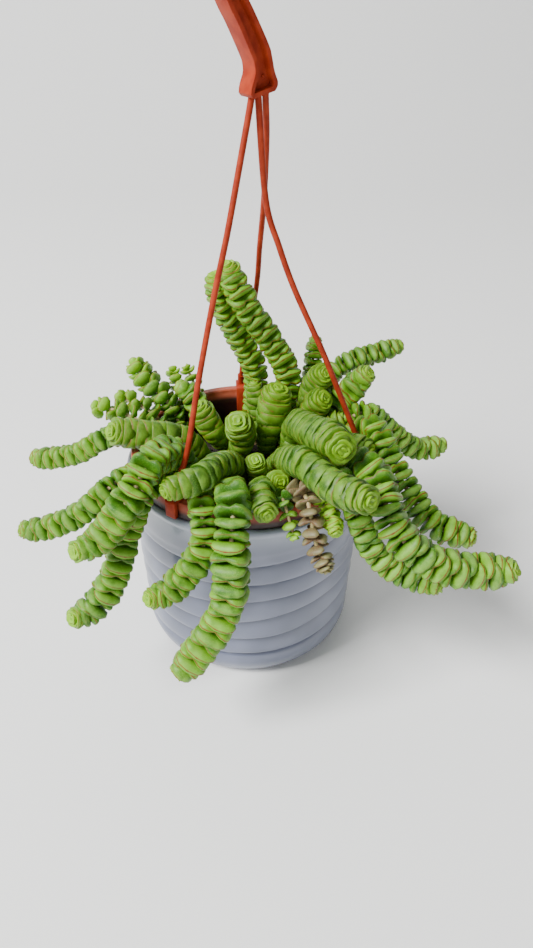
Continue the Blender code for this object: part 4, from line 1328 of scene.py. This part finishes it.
def grow_stem(name, points, width, pitch):
    kind = leaf_kind(name)
    tip_kinds = TIP_KINDS[:1] if kind in ("loose", "thin") else TIP_KINDS
    length = lengths(np.diff(points, axis=0)).sum()
    from_tip, shares = fine_pairs(length, pitch, width, kind)
    path = smooth_path(points, 1 - np.clip(from_tip / length, 0, 1))[::-1]
    tangents, sides = rotated_frames(path)
    half = grown_half(path, width) * shares[::-1]
    count = len(path)
    first_turn = math.radians(random.uniform(-FIRST_TURN, FIRST_TURN))
    shift = TONE_SHIFT.get(name, 0)
    copies = []
    for index in range(count):
        order = count - 1 - index
        shape = tip_kinds[order] if order < len(tip_kinds) else kind
        along = tangents[index]
        side = sides[index]
        other = np.cross(along, side)
        jitter = random.uniform(-TURN_JITTER, TURN_JITTER)
        angle = first_turn + math.radians(90 * (index % 2) + jitter)
        leaf = side * math.cos(angle) + other * math.sin(angle)
        leaf = unit(leaf + along * random.uniform(-TILT_JITTER, TILT_JITTER))
        across = unit(np.cross(along, leaf))
        up = np.cross(leaf, across)
        size = half[index] * random.uniform(*SIZE_JITTER)
        tall = size
        if shape == "open":
            least, most = TALL_LIMITS
            tall = size * min(most, max(least, pitch / half[index] / PAIR_HEIGHT))
        turn = Matrix((
            (*(leaf * size), 0), (*(across * size), 0), (*(up * tall), 0), (0, 0, 0, 1)
        )).transposed()
        mesh = PAIRS[shape].data.copy()
        mesh.transform(Matrix.Scale(MM, 4) @ Matrix.Translation(path[index]) @ turn)
        young = 1.0 if name in YOUNG_SHOOTS else max(0.0, 1 - order / YOUNG_PAIRS)
        marks = {"tone": random.random() + shift, "young": young, "leafy": 1.0}
        for attribute, value in marks.items():
            mesh.attributes[attribute].data.foreach_set("value", [value] * len(mesh.vertices))
        obj = bpy.data.objects.new("pair", mesh)
        bpy.context.scene.collection.objects.link(obj)
        copies.append(obj)
    foot = path[0] * (1, 1, 0) + (0, 0, points[0][2] - STALK_SUNK)
    stalk_r = min(STALK_R, STALK_SHARE * width / 2 + 0.1)
    stalk = tube("stalk", [foot, points[0], *path[1:-2]], stalk_r, 1)
    smooth(stalk, 60)
    return join("leafy_" + name, [*copies, stalk])


random.seed(12)
leafy = {}
for name, (width, _, pitch, _) in STEMS.items():
    curved = face_viewer(grown[name], FACING.get(name, 0), LIFT.get(name, 0))
    leafy[name] = grow_stem(name, curved, width, pitch)
for pair in PAIRS.values():
    bpy.data.objects.remove(pair)
print("leaf faces:", sum(len(obj.data.polygons) for obj in leafy.values()))

# %% [markdown]
# ## Leaf colours
# A leaf is fresh green, yellower when it is young and with a pale bloom on the underside of
# its outer end. The ridge has a thin line, red-brown or pale, which is stronger on some pairs
# than on others. Fine dots and soft noise cover all of it. Closely stacked pairs are a little
# darker, and the withered stem is a dull grey green. The stalk is pale green and pink.

# %% Leaf looks
def leaf_look(name, colours, pale_share, line_from):
    """The colours go from deep and light green to the bloom and the two of the line."""
    deep, light, fresh, bloom, edge, pale_edge = colours
    look = Look(name, subsurface_weight=0.1, subsurface_scale=0.002, specular_ior_level=0.35)
    tone = look.value("tone")
    young = look.value("young")
    outer = look.value("outer")
    ridge = look.value("ridge")
    mottle = look.noise(3.2, 3)
    patches = look.noise(5.5, 2)
    dots = look.cells(0.62).between(0.34, 0.16)
    mixed = (mottle * 0.7 + tone * 0.5).between(0.3, 0.85)
    body = look.mix(mixed, deep, light)
    body = look.mix(young.between(0.05, 0.9) * 0.75, body, fresh)
    body = look.mix((1 - outer).between(0.5, 1.0) * 0.5, body, deep)
    bloomed = outer.between(0.4, 0.95) * (1 - look.value("upside")) * patches.between(0.25, 0.65)
    body = look.mix(bloomed * 0.5, body, bloom)
    body = look.mix(dots * 0.45, body, bloom)
    pale = (patches + tone * 0.6 - young * 0.3).between(pale_share, pale_share + 0.25)
    shown = (tone * 0.7 + mottle * 0.7 + young * 0.25).between(0.35, 0.85)
    line = ridge.between(line_from, line_from + 0.24) * (0.2 + 0.8 * shown)
    body = look.mix(line, body, look.mix(pale, pale_edge, edge))
    stalk = look.mix(look.noise(1.5, 2), (150, 158, 100), (170, 130, 100))
    look.colour(look.mix(look.value("leafy"), stalk, body))
    look.roughness(0.40 + 0.16 * mottle)
    look.bump(dots * 0.5 + look.noise(1.2, 3), 0.2, 0.6)
    return look.material


OPEN = [(48, 98, 4), (98, 150, 14), (142, 192, 14), (142, 190, 74), (118, 42, 20), (150, 172, 66)]
FULL = [(46, 84, 4), (92, 134, 12), (130, 178, 12), (124, 168, 54), (112, 76, 30), (142, 174, 72)]
DULL = [(102, 80, 54), (128, 128, 82), (120, 124, 66), (146, 154, 108)]
DULL += [(120, 50, 40), (136, 82, 62)]
open_leaf = leaf_look("open_leaf", OPEN, 0.42, 0.68)
compact_leaf = leaf_look("compact_leaf", FULL, 0.42, 0.74)
withered_leaf = leaf_look("withered_leaf", DULL, 0.3, 0.68)
for name, obj in leafy.items():
    look = {"full": compact_leaf, "thin": withered_leaf}.get(leaf_kind(name), open_leaf)
    dress(obj, look, "withered" if name == "withered" else "leaf", "stem_" + name)

# %% [markdown]
# ## Floor and light
# The object stands on a plain pale floor. It bends up into a backdrop, so no edge shows
# behind the leaves: its back edge is extruded upwards, and the fold is bevelled.

# %% Floor
FLOOR_WIDTH = 24
FLOOR_DEPTH = 12
BACKDROP_Y = 1.9
BACKDROP_HEIGHT = 5
BACKDROP_BEND = 1.0
bpy.ops.object.select_all(action="DESELECT")
bpy.ops.mesh.primitive_plane_add(size=1)
floor = bpy.context.object
floor.name = "floor"
with Editing(floor) as editing:
    bpy.ops.mesh.select_all(action="SELECT")
    bpy.ops.transform.resize(value=(FLOOR_WIDTH, FLOOR_DEPTH, 1))
    bpy.ops.transform.translate(value=(0, BACKDROP_Y - FLOOR_DEPTH / 2, 0))
    editing.pick_points(lambda co: co.y > 0)
    bpy.ops.mesh.extrude_region_move(TRANSFORM_OT_translate={"value": (0, 0, BACKDROP_HEIGHT)})
    editing.pick_points(lambda co: co.y > 0 and co.z < 1)
    bpy.ops.mesh.bevel(offset=BACKDROP_BEND, segments=20)
smooth(floor, 60)
print("floor:", len(floor.data.polygons), "faces")
paper = Look("floor_paper", roughness=0.9)
paper.colour(paint(244, 244, 242))
floor.data.materials.append(paper.material)
floor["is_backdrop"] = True

# %% [markdown]
# A large area light from the upper left gives soft shadows, as a wide window does. A much
# weaker one fills the shadows in front, and the world adds a dim, slightly blue light from all
# sides.

# %% Lights
world = bpy.data.worlds.new("soft_room")
world.use_nodes = True
room = world.node_tree.nodes["Background"].inputs
room["Color"].default_value = (0.95, 0.97, 1.0, 1.0)
room["Strength"].default_value = 0.30
bpy.context.scene.world = world


def area_light(name, place, target, size, watts):
    light = bpy.data.lights.new(name, "AREA")
    light.size = size
    light.energy = watts
    obj = bpy.data.objects.new(name, light)
    bpy.context.scene.collection.objects.link(obj)
    obj.location = place
    direction = np.array(target) - np.array(place)
    obj.rotation_mode = "QUATERNION"
    obj.rotation_quaternion = Vector(direction).to_track_quat("-Z", "Y")


area_light("key", (-1.55, -1.0, 2.1), (0, 0, 0.1), size=1.1, watts=168)
area_light("fill", (-0.2, -1.4, 0.8), (0, 0, 0.15), size=1.0, watts=3.5)

# %% [markdown]
# ## Sizes
# The finer pieces should fill the same box as the solids. The box of the finer pieces is printed.

# %% Sizes
low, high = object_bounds()
print("visual box", [round(v * 1000, 1) for v in (*low, *high)])
